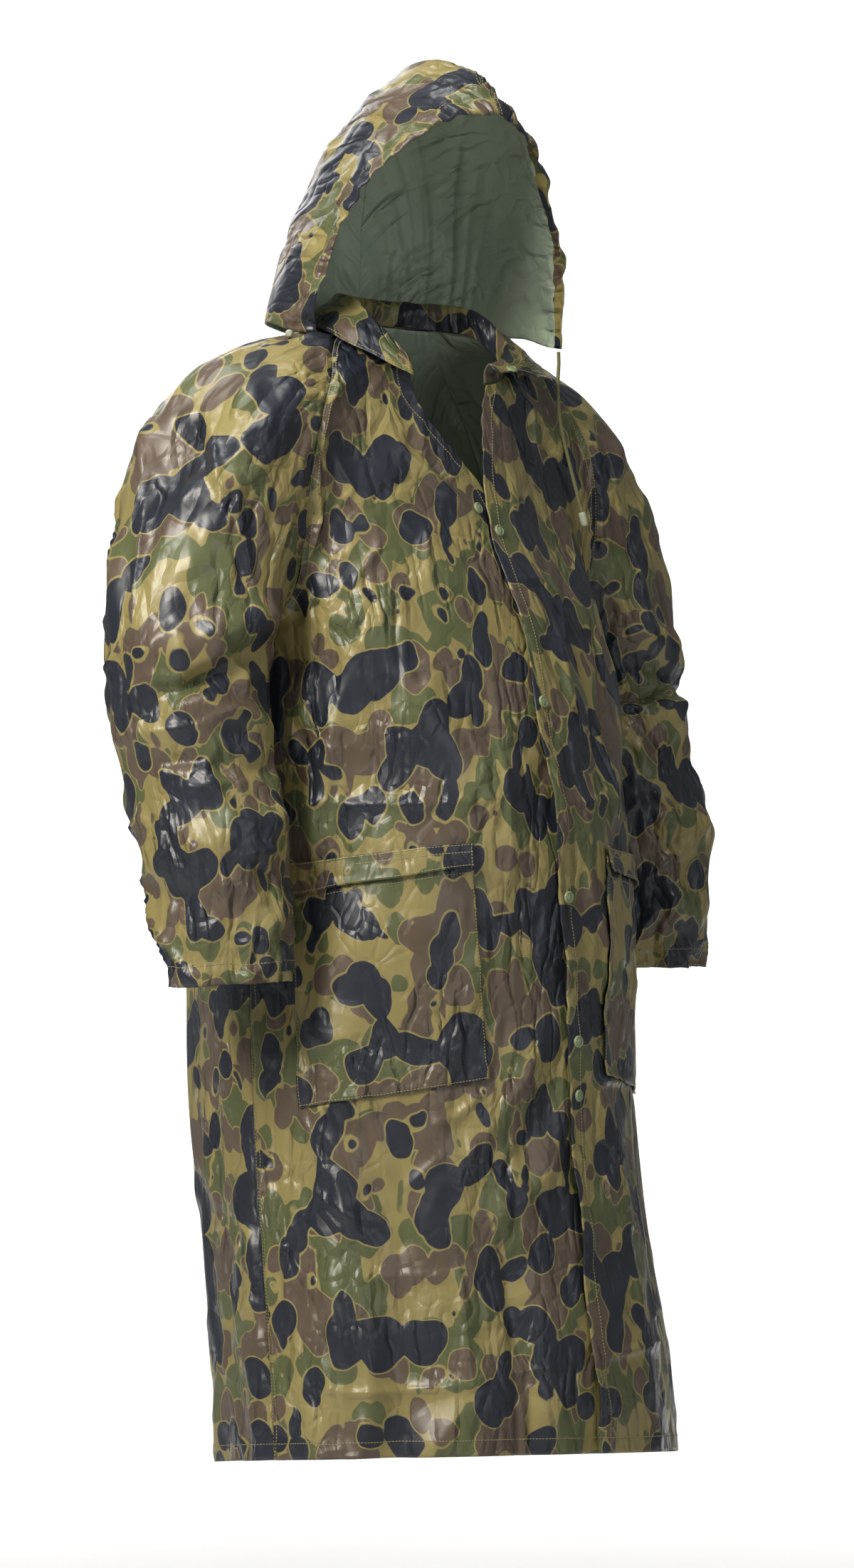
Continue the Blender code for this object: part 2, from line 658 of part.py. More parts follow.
def shell(name, outer, inner, material, collection):
    """Closed wall between two grids of points that belong together."""
    rows, columns = outer.shape[:2]
    form = bmesh.new()
    bmesh.ops.create_grid(form, x_segments=columns - 1, y_segments=rows - 1, size=1.0)
    number = form.verts.layers.int.new("number")
    for index, vert in enumerate(form.verts):
        vert[number] = index
    made = bmesh.ops.extrude_face_region(form, geom=form.faces[:], use_keep_orig=True)
    raised = {item for item in made["geom"] if isinstance(item, bmesh.types.BMVert)}
    flat_outer = outer.reshape(-1, 3)
    flat_inner = inner.reshape(-1, 3)
    for vert in form.verts:
        source = flat_outer if vert in raised else flat_inner
        vert.co = Vector(source[vert[number]])
    bmesh.ops.triangulate(form, faces=form.faces[:])
    bmesh.ops.recalc_face_normals(form, faces=form.faces[:])
    mesh = bpy.data.meshes.new(name)
    form.to_mesh(mesh)
    form.free()
    mesh.materials.append(material)
    mesh.shade_smooth()
    mesh.set_sharp_from_angle(angle=math.radians(50))
    piece = bpy.data.objects.new(name, mesh)
    collection.objects.link(piece)
    return piece


def on_grid(grid, column, row):
    """Points of a grid at places between its own columns and rows."""
    i = np.clip(row.astype(int), 0, grid.shape[0] - 2)
    j = np.clip(column.astype(int), 0, grid.shape[1] - 2)
    u = (column - j)[..., None]
    v = (row - i)[..., None]
    low = grid[i, j] * (1 - u) + grid[i, j + 1] * u
    high = grid[i + 1, j] * (1 - u) + grid[i + 1, j + 1] * u
    return low * (1 - v) + high * v


def patch(name, front, corners, size, shift, lift, material, collection):
    """Cloth patch made from a front's own points between four corners, moved out."""
    across = np.linspace(0, 1, size[0])[None, :]
    up = np.linspace(0, 1, size[1])[:, None]
    column, row = [(a * (1 - across) + b * across) * (1 - up) + (c * (1 - across) + d * across) * up
                   for a, b, c, d in np.transpose(corners)]
    points, out = [on_grid(grid, column + shift, row) for grid in front]
    return shell(name, *wall(points, out, lift(across, up)), material, collection)


def bag_lift(across, up):
    return BAG_LIFT + BAG_PUFF * np.sin(math.pi * across) * np.sin(math.pi * up)


def flap_lift(across, up):
    return FLAP_LIFT + FLAP_FREE_LIFT * (1 - up) + 0 * across


def snap_cap(name, spot, out, material, collection):
    """Round snap cap with a sloping rim, its back on the cloth."""
    form = bmesh.new()
    bmesh.ops.create_cone(form, cap_ends=True, segments=SNAP_SIDES, radius1=SNAP_RADIUS,
                          radius2=SNAP_RADIUS * SNAP_TOP_SHARE, depth=SNAP_HEIGHT)
    turn = Vector(out).to_track_quat("Z", "Y").to_matrix().to_4x4()
    place = Matrix.Translation(Vector(spot) + Vector(out) * SNAP_HEIGHT / 2)
    bmesh.ops.transform(form, matrix=place @ turn, verts=form.verts[:])
    mesh = bpy.data.meshes.new(name)
    form.to_mesh(mesh)
    form.free()
    mesh.materials.append(material)
    piece = bpy.data.objects.new(name, mesh)
    collection.objects.link(piece)
    return piece


def cord(name, route, diameter, material, collection):
    """Round cord along a smooth curve through the route's points."""
    length = np.sum(np.linalg.norm(np.diff(route, axis=0), axis=1))
    line = run_along(route, 3 + int(length / CORD_STEP))
    curve = bpy.data.curves.new(name, "CURVE")
    curve.dimensions = "3D"
    curve.bevel_depth = diameter / 2
    curve.bevel_resolution = 2
    curve.use_fill_caps = True
    spline = curve.splines.new("POLY")
    spline.points.add(len(line) - 1)
    for point, place in zip(spline.points, line):
        point.co = (*place, 1.0)
    curve.materials.append(material)
    piece = bpy.data.objects.new(name, curve)
    collection.objects.link(piece)
    return piece


def cord_end(name, start, end, material, collection):
    """Short moulded tube that grips the cord's end."""
    form = bmesh.new()
    bmesh.ops.create_cone(form, cap_ends=True, segments=SNAP_SIDES, radius1=CORD_END_RADIUS,
                          radius2=CORD_END_RADIUS, depth=(end - start).length)
    turn = (end - start).to_track_quat("Z", "Y").to_matrix().to_4x4()
    bmesh.ops.transform(form, matrix=Matrix.Translation((start + end) / 2) @ turn, verts=form.verts[:])
    mesh = bpy.data.meshes.new(name)
    form.to_mesh(mesh)
    form.free()
    mesh.materials.append(material)
    piece = bpy.data.objects.new(name, mesh)
    collection.objects.link(piece)
    return piece


def lap_lift(angle, z):
    """How far the left front stands out over the right front near its free edge."""
    edge_x = np.interp(z, [row[0] for row in LEFT_EDGE], [row[1] for row in LEFT_EDGE])
    width = (angle - np.arcsin(edge_x / body_ring(z)[0])) * BODY_MEAN_RADIUS
    return LAP_RISE * (1 - soft_step((width - LAP_FLAT) / (LAP_REACH - LAP_FLAT)))


def build():
    for item in list(bpy.data.objects):
        bpy.data.objects.remove(item, do_unlink=True)
    coat = bpy.data.collections.new("raincoat")
    bpy.context.scene.collection.children.link(coat)
    outer_cloth = make_material("coated_cloth", (0.20, 0.18, 0.09), 0.35)
    cap_finish = make_material("snap_cap", (0.30, 0.36, 0.18), 0.4)
    cord_finish = make_material("cord", (0.19, 0.19, 0.08), 0.8)
    end_finish = make_material("cord_end", (0.42, 0.46, 0.34), 0.5)

    seams = {}
    for side, word in ((-1, "right"), (1, "left")):
        seams[word] = (raglan_seam(FRONT_SEAM, side, SHOULDER_FRONT),
                       raglan_seam(BACK_SEAM, side, SHOULDER_BACK))
    all_seams = [*seams["right"], *seams["left"]]

    # Fronts and back
    angle, z, shift = front_grid(-1, seams["right"][0], RIGHT_EDGE)
    points, out = body_surface(angle, z, all_seams, shift)
    fronts = {"right": (points, out)}
    shell("front_right", *wall(trim(points, ["last"]), out), outer_cloth, coat)
    angle, z, shift = front_grid(1, seams["left"][0], LEFT_EDGE)
    points, out = body_surface(angle, z, all_seams, shift)
    points = points + out * lap_lift(angle, z)[..., None]
    fronts["left"] = (points, out)
    shell("front_left", *wall(trim(points, ["last"]), out), outer_cloth, coat)
    angle, z, shift = back_grid(seams["right"][1], seams["left"][1])
    points, out = body_surface(angle, z, all_seams, shift)
    shell("back", *wall(trim(points, ["first", "last"]), out), outer_cloth, coat)

    # Sleeves
    for side, word in ((-1, "right"), (1, "left")):
        front_seam, back_seam = seams[word]
        neck_angles = np.linspace(side * SHOULDER_FRONT, side * SHOULDER_BACK, NECK_COLUMNS)
        along, angle, shift = sleeve_grid(side, front_seam, back_seam, neck_point(neck_angles))
        points, out = sleeve_surface(along, angle, shift, side, [front_seam, back_seam])
        points = trim(points, ["start", "first", "last"])
        shell("sleeve_" + word, *wall(points, out), outer_cloth, coat)

    # Hood halves, with the gap of their seam between them
    along, up = HOOD_GRID
    whole = hood_points(along, up)
    out = way_out(whole)
    across = np.array(Matrix.Rotation(HOOD_TURN, 3, "Z"))[:, 0]
    outer, inner = wall(whole, out)
    for word, cut, shift in (("right", slice(0, up), -0.5), ("left", slice(up - 1, None), 0.5)):
        seam_column = -1 if word == "right" else 0
        parts = []
        for grid in (outer, inner):
            half = grid[:, cut].copy()
            half[:, seam_column] += across * shift * SEAM_GAP
            parts.append(half)
        shell("hood_" + word, *parts, outer_cloth, coat)

    # Collar
    fold = collar_points(*COLLAR_GRID)
    fold_out = way_out(fold)
    shell("collar", *wall(fold, fold_out, WALL / 2), outer_cloth, coat)

    # Pockets
    for word, shift in (("right", 0), ("left", LEFT_SHIFT)):
        front = fronts[word]
        patch("pocket_" + word, front, BAG_CORNERS, BAG_GRID, shift, bag_lift, outer_cloth, coat)
        patch("pocket_flap_" + word, front, FLAP_CORNERS, FLAP_GRID, shift, flap_lift, outer_cloth, coat)

    # Snaps
    for index, height in enumerate(SNAP_HEIGHTS):
        z = np.array(height)
        edge_x = np.interp(z, [row[0] for row in LEFT_EDGE], [row[1] for row in LEFT_EDGE])
        angle = np.arcsin((edge_x + SNAP_INSET) / body_ring(z)[0])
        points, out = body_surface(angle, z, all_seams)
        spot = points + out * (lap_lift(angle, z) + SNAP_ROOM)
        snap_cap(f"snap_{index + 1}", spot, out, cap_finish, coat)
    angle, z = np.radians(STUD_SPOT[0]), np.array(STUD_SPOT[1])
    points, out = body_surface(angle, z, all_seams)
    snap_cap("snap_stud", points + out * SNAP_ROOM, out, cap_finish, coat)
    near = np.s_[COLLAR_SNAP_ROWS[0]:COLLAR_SNAP_ROWS[1], :2]
    spot, way = fold[near].mean(axis=(0, 1)), fold_out[near].mean(axis=(0, 1))
    way = way / np.linalg.norm(way)
    snap_cap("snap_collar", spot + way * COLLAR_SNAP_ROOM, way, cap_finish, coat)

    # Drawstring ends, each gripped by a moulded tube
    for word, route in (("right", CORD_ROUTE_RIGHT), ("left", CORD_ROUTE_LEFT)):
        cord("cord_" + word, route, CORD_DIAMETER, cord_finish, coat)
        way = (Vector(route[-1]) - Vector(route[-2])).normalized()
        start = Vector(route[-1]) + way * SEAM_GAP
        cord_end("cord_end_" + word, start, start + way * CORD_END_LENGTH, end_finish, coat)


build()
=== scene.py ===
import math

import bmesh
import bpy
import numpy as np
from mathutils import Matrix, Vector


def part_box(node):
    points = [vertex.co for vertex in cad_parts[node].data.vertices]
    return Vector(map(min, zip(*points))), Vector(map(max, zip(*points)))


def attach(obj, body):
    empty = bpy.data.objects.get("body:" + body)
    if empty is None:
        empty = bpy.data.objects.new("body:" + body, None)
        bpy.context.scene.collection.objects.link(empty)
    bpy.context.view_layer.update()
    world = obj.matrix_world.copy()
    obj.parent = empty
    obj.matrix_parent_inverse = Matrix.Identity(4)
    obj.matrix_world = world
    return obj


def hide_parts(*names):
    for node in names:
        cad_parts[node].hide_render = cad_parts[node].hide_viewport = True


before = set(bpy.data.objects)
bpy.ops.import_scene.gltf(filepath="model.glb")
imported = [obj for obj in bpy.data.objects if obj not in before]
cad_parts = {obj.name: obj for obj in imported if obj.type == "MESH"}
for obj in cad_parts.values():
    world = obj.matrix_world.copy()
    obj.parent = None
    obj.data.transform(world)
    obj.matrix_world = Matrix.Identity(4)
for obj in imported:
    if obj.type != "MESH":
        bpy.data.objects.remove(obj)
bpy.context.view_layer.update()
scene = bpy.context.scene

# Cloth and making
wallThickness = 0.0015            # coated cloth, doubled at its seams and hems
seamGap = 0.0003        # room between two pieces that meet
lapRise = 0.0042        # the left front lies this far out over the right front
lapFlat = 0.052         # width over which the lap keeps that rise
lapReach = 0.095        # width at which it is back on the body

# Heights
hemZ = -1.1915          # middle height of the hem
hemLift = 0.0235        # the front of the hem is higher and the back lower by this
hemTilt = 0.0253        # the wearer's right side of the hem is higher and the left lower by this
sideBendZ = -0.60      # above this the side seam bends to the underarm
edgeAtUnderarm = -0.335   # height at the middle of the row that meets the underarm
neckSideZ = 0.046
neckBackZ = 0.056
neckFrontZ = -0.020
neckCentreY = 0.012
neckCalmZ = 0.03       # no folds above this, all of them neckCalmReach below it
neckCalmReach = 0.08
lowShare = 0.70         # share of a panel's rows below the underarm
shoulderFront = math.radians(80)    # where the raglan seams meet the neckline
shoulderBack = math.radians(122)

# Skin
mergeHeights = (-0.300, -0.20)
mergeReach = (0.0005, 0.034)
slopeStep = 0.0006
sleeveSpheres = 80
seamPoints = 60
seamFlat = 0.008        # no folds nearer than this to a raglan seam
seamCalm = 0.050        # folds grow over this distance past it
roomLeast = 0.010
roomReach = 0.035
armRoomAbove = 0.02    # the sleeve keeps clear of the body up to this far over the underarm
bodyMeanRadius = 0.24
sleeveMeanRadius = 0.085
sleeveLength = 0.86
foldTaper = 3.2
foldSharpness = 1.6

# Body rings, hem to neck: z, half width, front depth, back depth, middle, squareness
bodyRings = (
    (-1.225, 0.282, 0.211, 0.205, -0.057, 2.05),
    (-1.100, 0.275, 0.212, 0.206, -0.043, 2.05),
    (-0.950, 0.262, 0.216, 0.210, -0.016, 2.05),
    (-0.820, 0.252, 0.226, 0.216, 0.006, 2.10),
    (-0.690, 0.246, 0.232, 0.219, 0.018, 2.10),
    (-0.600, 0.243, 0.234, 0.212, 0.022, 2.20),
    (-0.500, 0.240, 0.232, 0.200, 0.026, 2.30),
    (-0.400, 0.238, 0.222, 0.186, 0.034, 2.35),
    (-0.320, 0.235, 0.206, 0.175, 0.038, 2.40),
    (-0.240, 0.242, 0.174, 0.164, 0.040, 2.40),
    (-0.180, 0.240, 0.146, 0.152, 0.040, 2.30),
    (-0.120, 0.226, 0.124, 0.138, 0.036, 2.20),
    (-0.070, 0.200, 0.108, 0.122, 0.030, 2.10),
    (-0.030, 0.160, 0.096, 0.106, 0.024, 2.00),
    (0.005, 0.122, 0.086, 0.090, 0.018, 2.00),
    (0.040, 0.094, 0.078, 0.070, 0.012, 2.00),
    (0.090, 0.080, 0.070, 0.062, 0.012, 2.00),
)

# Sleeve, neck to cuff: x, y on the right, y on the left, z, radius
sleeveStations = (
    (0.070, 0.024, 0.024, -0.014, 0.058),
    (0.150, 0.030, 0.028, -0.046, 0.076),
    (0.226, 0.032, 0.032, -0.088, 0.090),
    (0.270, 0.030, 0.030, -0.148, 0.091),
    (0.302, 0.026, 0.026, -0.216, 0.089),
    (0.330, 0.022, 0.022, -0.294, 0.086),
    (0.338, 0.018, 0.016, -0.372, 0.081),
    (0.338, 0.002, -0.012, -0.450, 0.079),
    (0.337, -0.020, -0.030, -0.526, 0.075),
    (0.336, -0.032, -0.040, -0.602, 0.066),
    (0.335, -0.036, -0.040, -0.664, 0.060),
)

# Raglan seams, neck to underarm: x, y, z
frontSeamLine = (
    (0.140, 0.004, 0.004),
    (0.180, -0.018, -0.030),
    (0.214, -0.040, -0.070),
    (0.232, -0.044, -0.120),
    (0.243, -0.034, -0.190),
)
backSeamLine = (
    (0.140, 0.098, 0.006),
    (0.186, 0.124, -0.030),
    (0.222, 0.128, -0.075),
    (0.242, 0.104, -0.130),
    (0.246, 0.068, -0.190),
    (0.242, 0.034, -0.245),
)
underarm = (0.241, 0.020, -0.288)

# Finer cloth of the pictures
clothThickness = 0.0012
noiseTable = 64
crumpleWarp = 0.35
crumpleStretch = 1.7
crumpleWidth = 0.42
creaseStrength = 1.4
creaseTaper = 3.0
creaseEnd = 0.1
creaseSteep = 2.2       # a crease is this much steeper on one side
ridgeTurn = 0.5
ridgeWarp = 0.5
ridgeRound = 0.05
seamFadeReach = 0.012
puckerLong = 0.050
puckerShort = 0.012
puckerReach = 0.018
seamPucker = 0.0034
seamCrumple = (0.030, 0.0026, 0.5)
seamCrumpleReach = 0.035
fellWidth = 0.010       # the front's seam allowances stand this wide and high beside the seam
fellRise = 0.0011
fellStep = 0.0016
hemPucker = 0.0012
hemRise = 0.0006
hemWidth = 0.018
hemStep = 0.002

# Looks
camouflagePrint = {
    "baseLow": (0.195, 0.162, 0.058), "baseHigh": (0.300, 0.250, 0.098),
    "baseScale": 9.0, "toneScale": 22.0,
    "smooth": 0.12, "soft": 0.010, "warp": 0.006, "warpScale": 40.0,
    "layers": [   # green, brown and navy, each over the one before it
        {"scale": 28.0, "edge": 0.40, "halo": 0.0, "region": 2.6, "regionScale": 16.0,
         "stretch": (1.25, 0.80, 1.0), "shift": (0.31, 0.17, 0.0),
         "low": (0.066, 0.078, 0.030), "high": (0.112, 0.125, 0.055)},
        {"scale": 28.0, "edge": 0.325, "halo": 0.060, "region": 2.6, "regionScale": 15.0,
         "stretch": (1.15, 0.85, 1.0), "shift": (0.77, 0.53, 0.0),
         "low": (0.074, 0.054, 0.038), "high": (0.128, 0.096, 0.070)},
        {"scale": 25.0, "edge": 0.320, "halo": 0.060, "region": 2.2, "regionScale": 16.0,
         "stretch": (1.15, 0.82, 1.0), "shift": (0.13, 0.91, 0.0),
         "low": (0.010, 0.012, 0.020), "high": (0.026, 0.031, 0.044)},
    ],
}
gloss = {"specular": 0.48, "roughness": 0.36, "coat": 0.06, "coatRoughness": 0.25,
         "insideRoughness": 0.42}
crinkles = {
    "warp": 0.012, "warpScale": 30.0, "grainScale": 1400.0, "grainDepth": 0.00006,
    "streaks": [   # long thin folds, each set turned its own way
        {"turn": 0.60, "scale": (22.0, 6.0, 1.0), "edge": 0.075, "depth": 0.0034,
         "places": 6.0, "low": 0.46, "high": 0.62},
        {"turn": -0.85, "scale": (28.0, 8.0, 1.0), "edge": 0.075, "depth": 0.0024,
         "places": 8.0, "low": 0.46, "high": 0.62},
        {"turn": 1.45, "scale": (36.0, 10.0, 1.0), "edge": 0.080, "depth": 0.0018,
         "places": 7.0, "low": 0.48, "high": 0.62},
    ],
    "layers": [
        {"scale": 22.0, "stretch": 0.55, "edge": 0.130, "depth": 0.0018,
         "places": 9.0, "low": 0.46, "high": 0.60},
        {"scale": 55.0, "stretch": 0.70, "edge": 0.180, "depth": 0.0008,
         "places": 14.0, "low": 0.46, "high": 0.62},
    ],
}
insideLow = (0.300, 0.375, 0.290)
insideHigh = (0.410, 0.490, 0.390)
insideScale = 14.0
plainLooks = {   # colour, roughness, then scale and depth of the grain
    "cord": ((0.170, 0.170, 0.075), 0.8, 1500.0, 0.0005),
    "cordEnd": ((0.400, 0.440, 0.330), 0.45, 900.0, 0.0001),
    "snapCap": ((0.230, 0.280, 0.150), 0.35, 900.0, 0.0001),
    "thread": ((0.300, 0.270, 0.130), 0.7, 900.0, 0.0001),
    "floor": ((0.80, 0.80, 0.80), 0.9, 5.0, 0.0),
}
plainDark = 0.86        # the darker tone of a plain look, as a share of its colour
plainMottle = 0.2       # scale of that tone, as a share of the grain's
viewAngle = math.radians(-47)
viewRight = (math.cos(viewAngle), math.sin(viewAngle))
viewBack = (math.sin(viewAngle), -math.cos(viewAngle))
turnedSides = 40
turnedMerge = 1e-6


def smoothColumn(rows, keys, column, at):
    keys = np.asarray(keys, float)
    values = np.asarray([row[column] for row in rows], float)
    slope = np.gradient(values, keys)
    place = np.clip(np.searchsorted(keys, at) - 1, 0, len(keys) - 2)
    span = keys[place + 1] - keys[place]
    t = np.clip((at - keys[place]) / span, 0.0, 1.0)
    h00 = 2 * t**3 - 3 * t**2 + 1
    h10 = t**3 - 2 * t**2 + t
    h01 = -2 * t**3 + 3 * t**2
    h11 = t**3 - t**2
    return (h00 * values[place] + h10 * span * slope[place]
            + h01 * values[place + 1] + h11 * span * slope[place + 1])


def bodyRing(z):
    heights = [row[0] for row in bodyRings]
    return [smoothColumn(bodyRings, heights, column, z) for column in range(1, 6)]


def bodyGuess(angle, z):
    half, front, back, centre, _square = bodyRing(z)
    depth = np.where(np.cos(angle) > 0, front, back)
    return np.stack([half * np.sin(angle), centre - depth * np.cos(angle), z + 0 * angle], axis=-1)


def bodyAngle(points):
    half, front, back, centre, _square = bodyRing(points[..., 2])
    away = points[..., 1] - centre
    depth = np.where(away < 0, front, back)
    return np.arctan2(points[..., 0] / half, -away / depth)


def bodyField(points):
    half, front, back, centre, square = bodyRing(points[..., 2])
    away = points[..., 1] - centre
    depth = np.where(away < 0, front, back)
    size = (np.abs(points[..., 0] / half)**square + np.abs(away / depth)**square)**(1 / square)
    return (size - 1) * np.minimum(half, depth)


def armStation(along, side):
    keys = np.linspace(0, 1, len(sleeveStations))
    yColumn = 1 if side < 0 else 2
    x, y, z, radius = [smoothColumn(sleeveStations, keys, column, along)
                       for column in (0, yColumn, 3, 4)]
    return np.stack([side * x, y, z], axis=-1), radius


def armField(points, side):
    middles, radii = armStation(np.linspace(0, 1, sleeveSpheres), side)
    nearest = np.full(points.shape[:-1], np.inf)
    for middle, radius in zip(middles, radii):
        nearest = np.minimum(nearest, np.linalg.norm(points - middle, axis=-1) - radius)
    return nearest


def nearArmField(points):
    return np.where(points[..., 0] < 0, armField(points, -1), armField(points, 1))


def merge(a, b, reach):
    share = np.clip(0.5 + 0.5 * (b - a) / reach, 0, 1)
    return b + (a - b) * share - reach * share * (1 - share)


def coatField(points):
    reach = np.interp(points[..., 2], mergeHeights, mergeReach)
    return merge(bodyField(points), nearArmField(points), reach)


def slopeOf(field, points):
    parts = []
    for axis in range(3):
        shift = np.zeros(3)
        shift[axis] = slopeStep
        parts.append((field(points + shift) - field(points - shift)) / (2 * slopeStep))
    return np.stack(parts, axis=-1)


def settle(field, points, turns=6):
    for _turn in range(turns):
        slope = slopeOf(field, points)
        length = np.sum(slope**2, axis=-1) + 1e-9
        points = points - (field(points) / length)[..., None] * slope
    slope = slopeOf(field, points)
    return points, slope / np.linalg.norm(slope, axis=-1, keepdims=True)


def softStep(share):
    share = np.clip(share, 0, 1)
    return share * share * (3 - 2 * share)


def ridge(s, t, start, end, width):
    line = np.array(end) - np.array(start)
    length = np.linalg.norm(line)
    along = ((s - start[0]) * line[0] + (t - start[1]) * line[1]) / length**2
    across = np.abs((s - start[0]) * line[1] - (t - start[1]) * line[0]) / length
    taper = softStep(np.minimum(along, 1 - along) * foldTaper + 0.3)
    return np.exp(-(across / width)**2 * foldSharpness) * taper


def foldRelief(folds, angle, along, radius, length):
    relief = 0 * angle
    for angleA, alongA, angleB, alongB, width, depth in folds:
        for turn in (0, 2 * math.pi, -2 * math.pi):
            start = ((math.radians(angleA) + turn) * radius, alongA * length)
            end = ((math.radians(angleB) + turn) * radius, alongB * length)
            relief = relief + depth * ridge(angle * radius, along * length, start, end, width)
    return relief


def runAlong(points, count):
    points = np.asarray(points, float)
    steps = np.linalg.norm(np.diff(points, axis=0), axis=1)
    reach = np.concatenate([[0], np.cumsum(steps)])
    at = np.linspace(0, reach[-1], count)
    return np.stack([smoothColumn(points, reach, axis, at) for axis in range(3)], axis=-1)


def neckHeight(angle):
    turn = np.cos(angle)
    front = neckSideZ + (neckFrontZ - neckSideZ) * np.abs(turn)**1.3
    back = neckSideZ + (neckBackZ - neckSideZ) * np.abs(turn)
    return np.where(turn > 0, front, back)


def neckPoint(angle):
    return bodyGuess(angle, neckHeight(angle))


def raglanSeam(rows, side, neckAngle):
    line = [neckPoint(np.array(side * neckAngle))]
    line += [np.array([side * x, y, z]) for x, y, z in rows]
    line.append(np.array([side * underarm[0], underarm[1], underarm[2]]))
    settled, _out = settle(coatField, runAlong(line, seamPoints))
    return settled


def seamFade(points, seams):
    nearest = np.full(points.shape[:-1], np.inf)
    for seam in seams:
        for knot in seam[::2]:
            nearest = np.minimum(nearest, np.linalg.norm(points - knot, axis=-1))
    return softStep((nearest - seamFlat) / seamCalm)


def roomFade(distance):
    return softStep((distance - roomLeast) / roomReach)


def hemHeight(angle):
    return hemZ + hemLift * np.cos(angle) - hemTilt * np.sin(angle)


def sideRun(seam, rows, side):
    low = int(rows * lowShare)
    top = runAlong(seam[::-1], rows - low + 1)
    endAngle = float(bodyAngle(top[:1])[0])
    zLow = np.linspace(hemZ, underarm[2], low)
    bend = softStep((zLow - sideBendZ) / (underarm[2] - sideBendZ))
    quarter = side * math.pi / 2
    angleLow = quarter + (endAngle - quarter) * bend
    angle = np.concatenate([angleLow, bodyAngle(top[1:])])
    z = np.concatenate([zLow, top[1:, 2]])
    shift = np.zeros((rows, 3))
    shift[low - 1:] = top - bodyGuess(angle[low - 1:], z[low - 1:])
    return angle, z, shift, low


def frontGrid(side, seam, edgeTable):
    columns, rows = frontValues["size"]
    sideAngle, sideZ, sideShift, low = sideRun(seam, rows, side)
    edgeZ = np.concatenate([np.linspace(hemZ + hemLift, edgeAtUnderarm, low),
                             np.linspace(edgeAtUnderarm, neckFrontZ, rows - low + 1)[1:]])
    edgeX = np.interp(edgeZ, [row[0] for row in edgeTable], [row[1] for row in edgeTable])
    edgeAngle = np.arcsin(edgeX / bodyRing(edgeZ)[0])
    across = np.linspace(0, 1, columns)[None, :]
    angle = edgeAngle[:, None] * (1 - across) + sideAngle[:, None] * across
    z = edgeZ[:, None] * (1 - across) + sideZ[:, None] * across
    shift = sideShift[:, None, :] * (across**2)[..., None]
    return fitEnds(angle, z, shift, across)


def backGrid(seamRight, seamLeft):
    columns, rows = backValues["size"]
    leftAngle, leftZ, leftShift, low = sideRun(seamLeft, rows, 1)
    rightAngle, rightZ, rightShift, _low = sideRun(seamRight, rows, -1)
    rightAngle = 2 * math.pi + rightAngle
    middleZ = np.concatenate([np.linspace(hemZ - hemLift, edgeAtUnderarm, low),
                               np.linspace(edgeAtUnderarm, neckBackZ, rows - low + 1)[1:]])
    across = np.linspace(0, 1, columns)[None, :]
    angle = leftAngle[:, None] * (1 - across) + rightAngle[:, None] * across
    bow = np.abs(2 * across - 1)**3
    sideZ = np.where(across < 0.5, leftZ[:, None], rightZ[:, None])
    z = middleZ[:, None] * (1 - bow) + sideZ * bow
    shift = (leftShift[:, None, :] * (np.clip(1 - 2 * across, 0, 1)**2)[..., None]
             + rightShift[:, None, :] * (np.clip(2 * across - 1, 0, 1)**2)[..., None])
    return fitEnds(angle, z, shift, bow)


def fitEnds(angle, z, shift, atSeam):
    share = np.linspace(0, 1, len(z))[:, None]
    low = (1 - share)**6
    high = share**8 * (1 - atSeam)**0.25
    return angle, z + (hemHeight(angle) - z[:1]) * low + (neckHeight(angle) - z[-1:]) * high, shift


def armFrame(along, side):
    step = 0.004
    ahead, _radius = armStation(np.clip(along + step, 0, 1), side)
    behind, _radius = armStation(np.clip(along - step, 0, 1), side)
    run = ahead - behind
    run = run / np.linalg.norm(run, axis=-1, keepdims=True)
    forward = np.array([0.0, -1.0, 0.0])
    forward = forward - run * np.sum(run * forward, axis=-1, keepdims=True)
    forward = forward / np.linalg.norm(forward, axis=-1, keepdims=True)
    outward = -side * np.cross(run, forward)
    return outward, forward


def armGuess(along, angle, side):
    middle, radius = armStation(along, side)
    outward, forward = armFrame(along, side)
    way = outward * np.cos(angle)[..., None] + forward * np.sin(angle)[..., None]
    return middle + way * radius[..., None]


def armPlace(points, side):
    shares = np.linspace(0, 1, 4 * sleeveSpheres)
    middles, radii = armStation(shares, side)
    gap = np.linalg.norm(points[:, None, :] - middles[None, :, :], axis=-1) - radii[None, :]
    along = shares[np.argmin(gap, axis=1)]
    middle, _radius = armStation(along, side)
    outward, forward = armFrame(along, side)
    away = points - middle
    return along, np.arctan2(np.sum(away * forward, axis=-1), np.sum(away * outward, axis=-1))


def sleeveGrid(side, frontSeam, backSeam, neckLine):
    rows = sleeveValues["rows"]
    climb = frontValues["size"][1] - int(frontValues["size"][1] * lowShare) + 1
    loop = np.concatenate([runAlong(frontSeam[::-1], climb), neckLine[1:-1],
                           runAlong(backSeam, climb)])
    columns = len(loop)
    along, angle = armPlace(loop, side)
    half = columns // 2
    turn = 2 * math.pi
    angle[:half] = np.where(angle[:half] < -math.pi / 2, angle[:half] + turn, angle[:half])
    angle[half:] = np.where(angle[half:] > math.pi / 2, angle[half:] - turn, angle[half:])
    shift = loop - armGuess(along, angle, side)
    steps = np.linalg.norm(np.diff(loop, axis=0), axis=1)
    roundShare = np.concatenate([[0], np.cumsum(steps)]) / np.sum(steps)
    endAngle = math.pi - turn * roundShare
    down = np.linspace(0, 1, rows)[:, None]
    ease = 1 - (1 - down)**2.5
    down = down**1.25
    return (along[None, :] * (1 - down) + down,
            angle[None, :] * (1 - ease) + endAngle[None, :] * ease,
            shift[None, :, :] * ((1 - down)**4)[..., None])


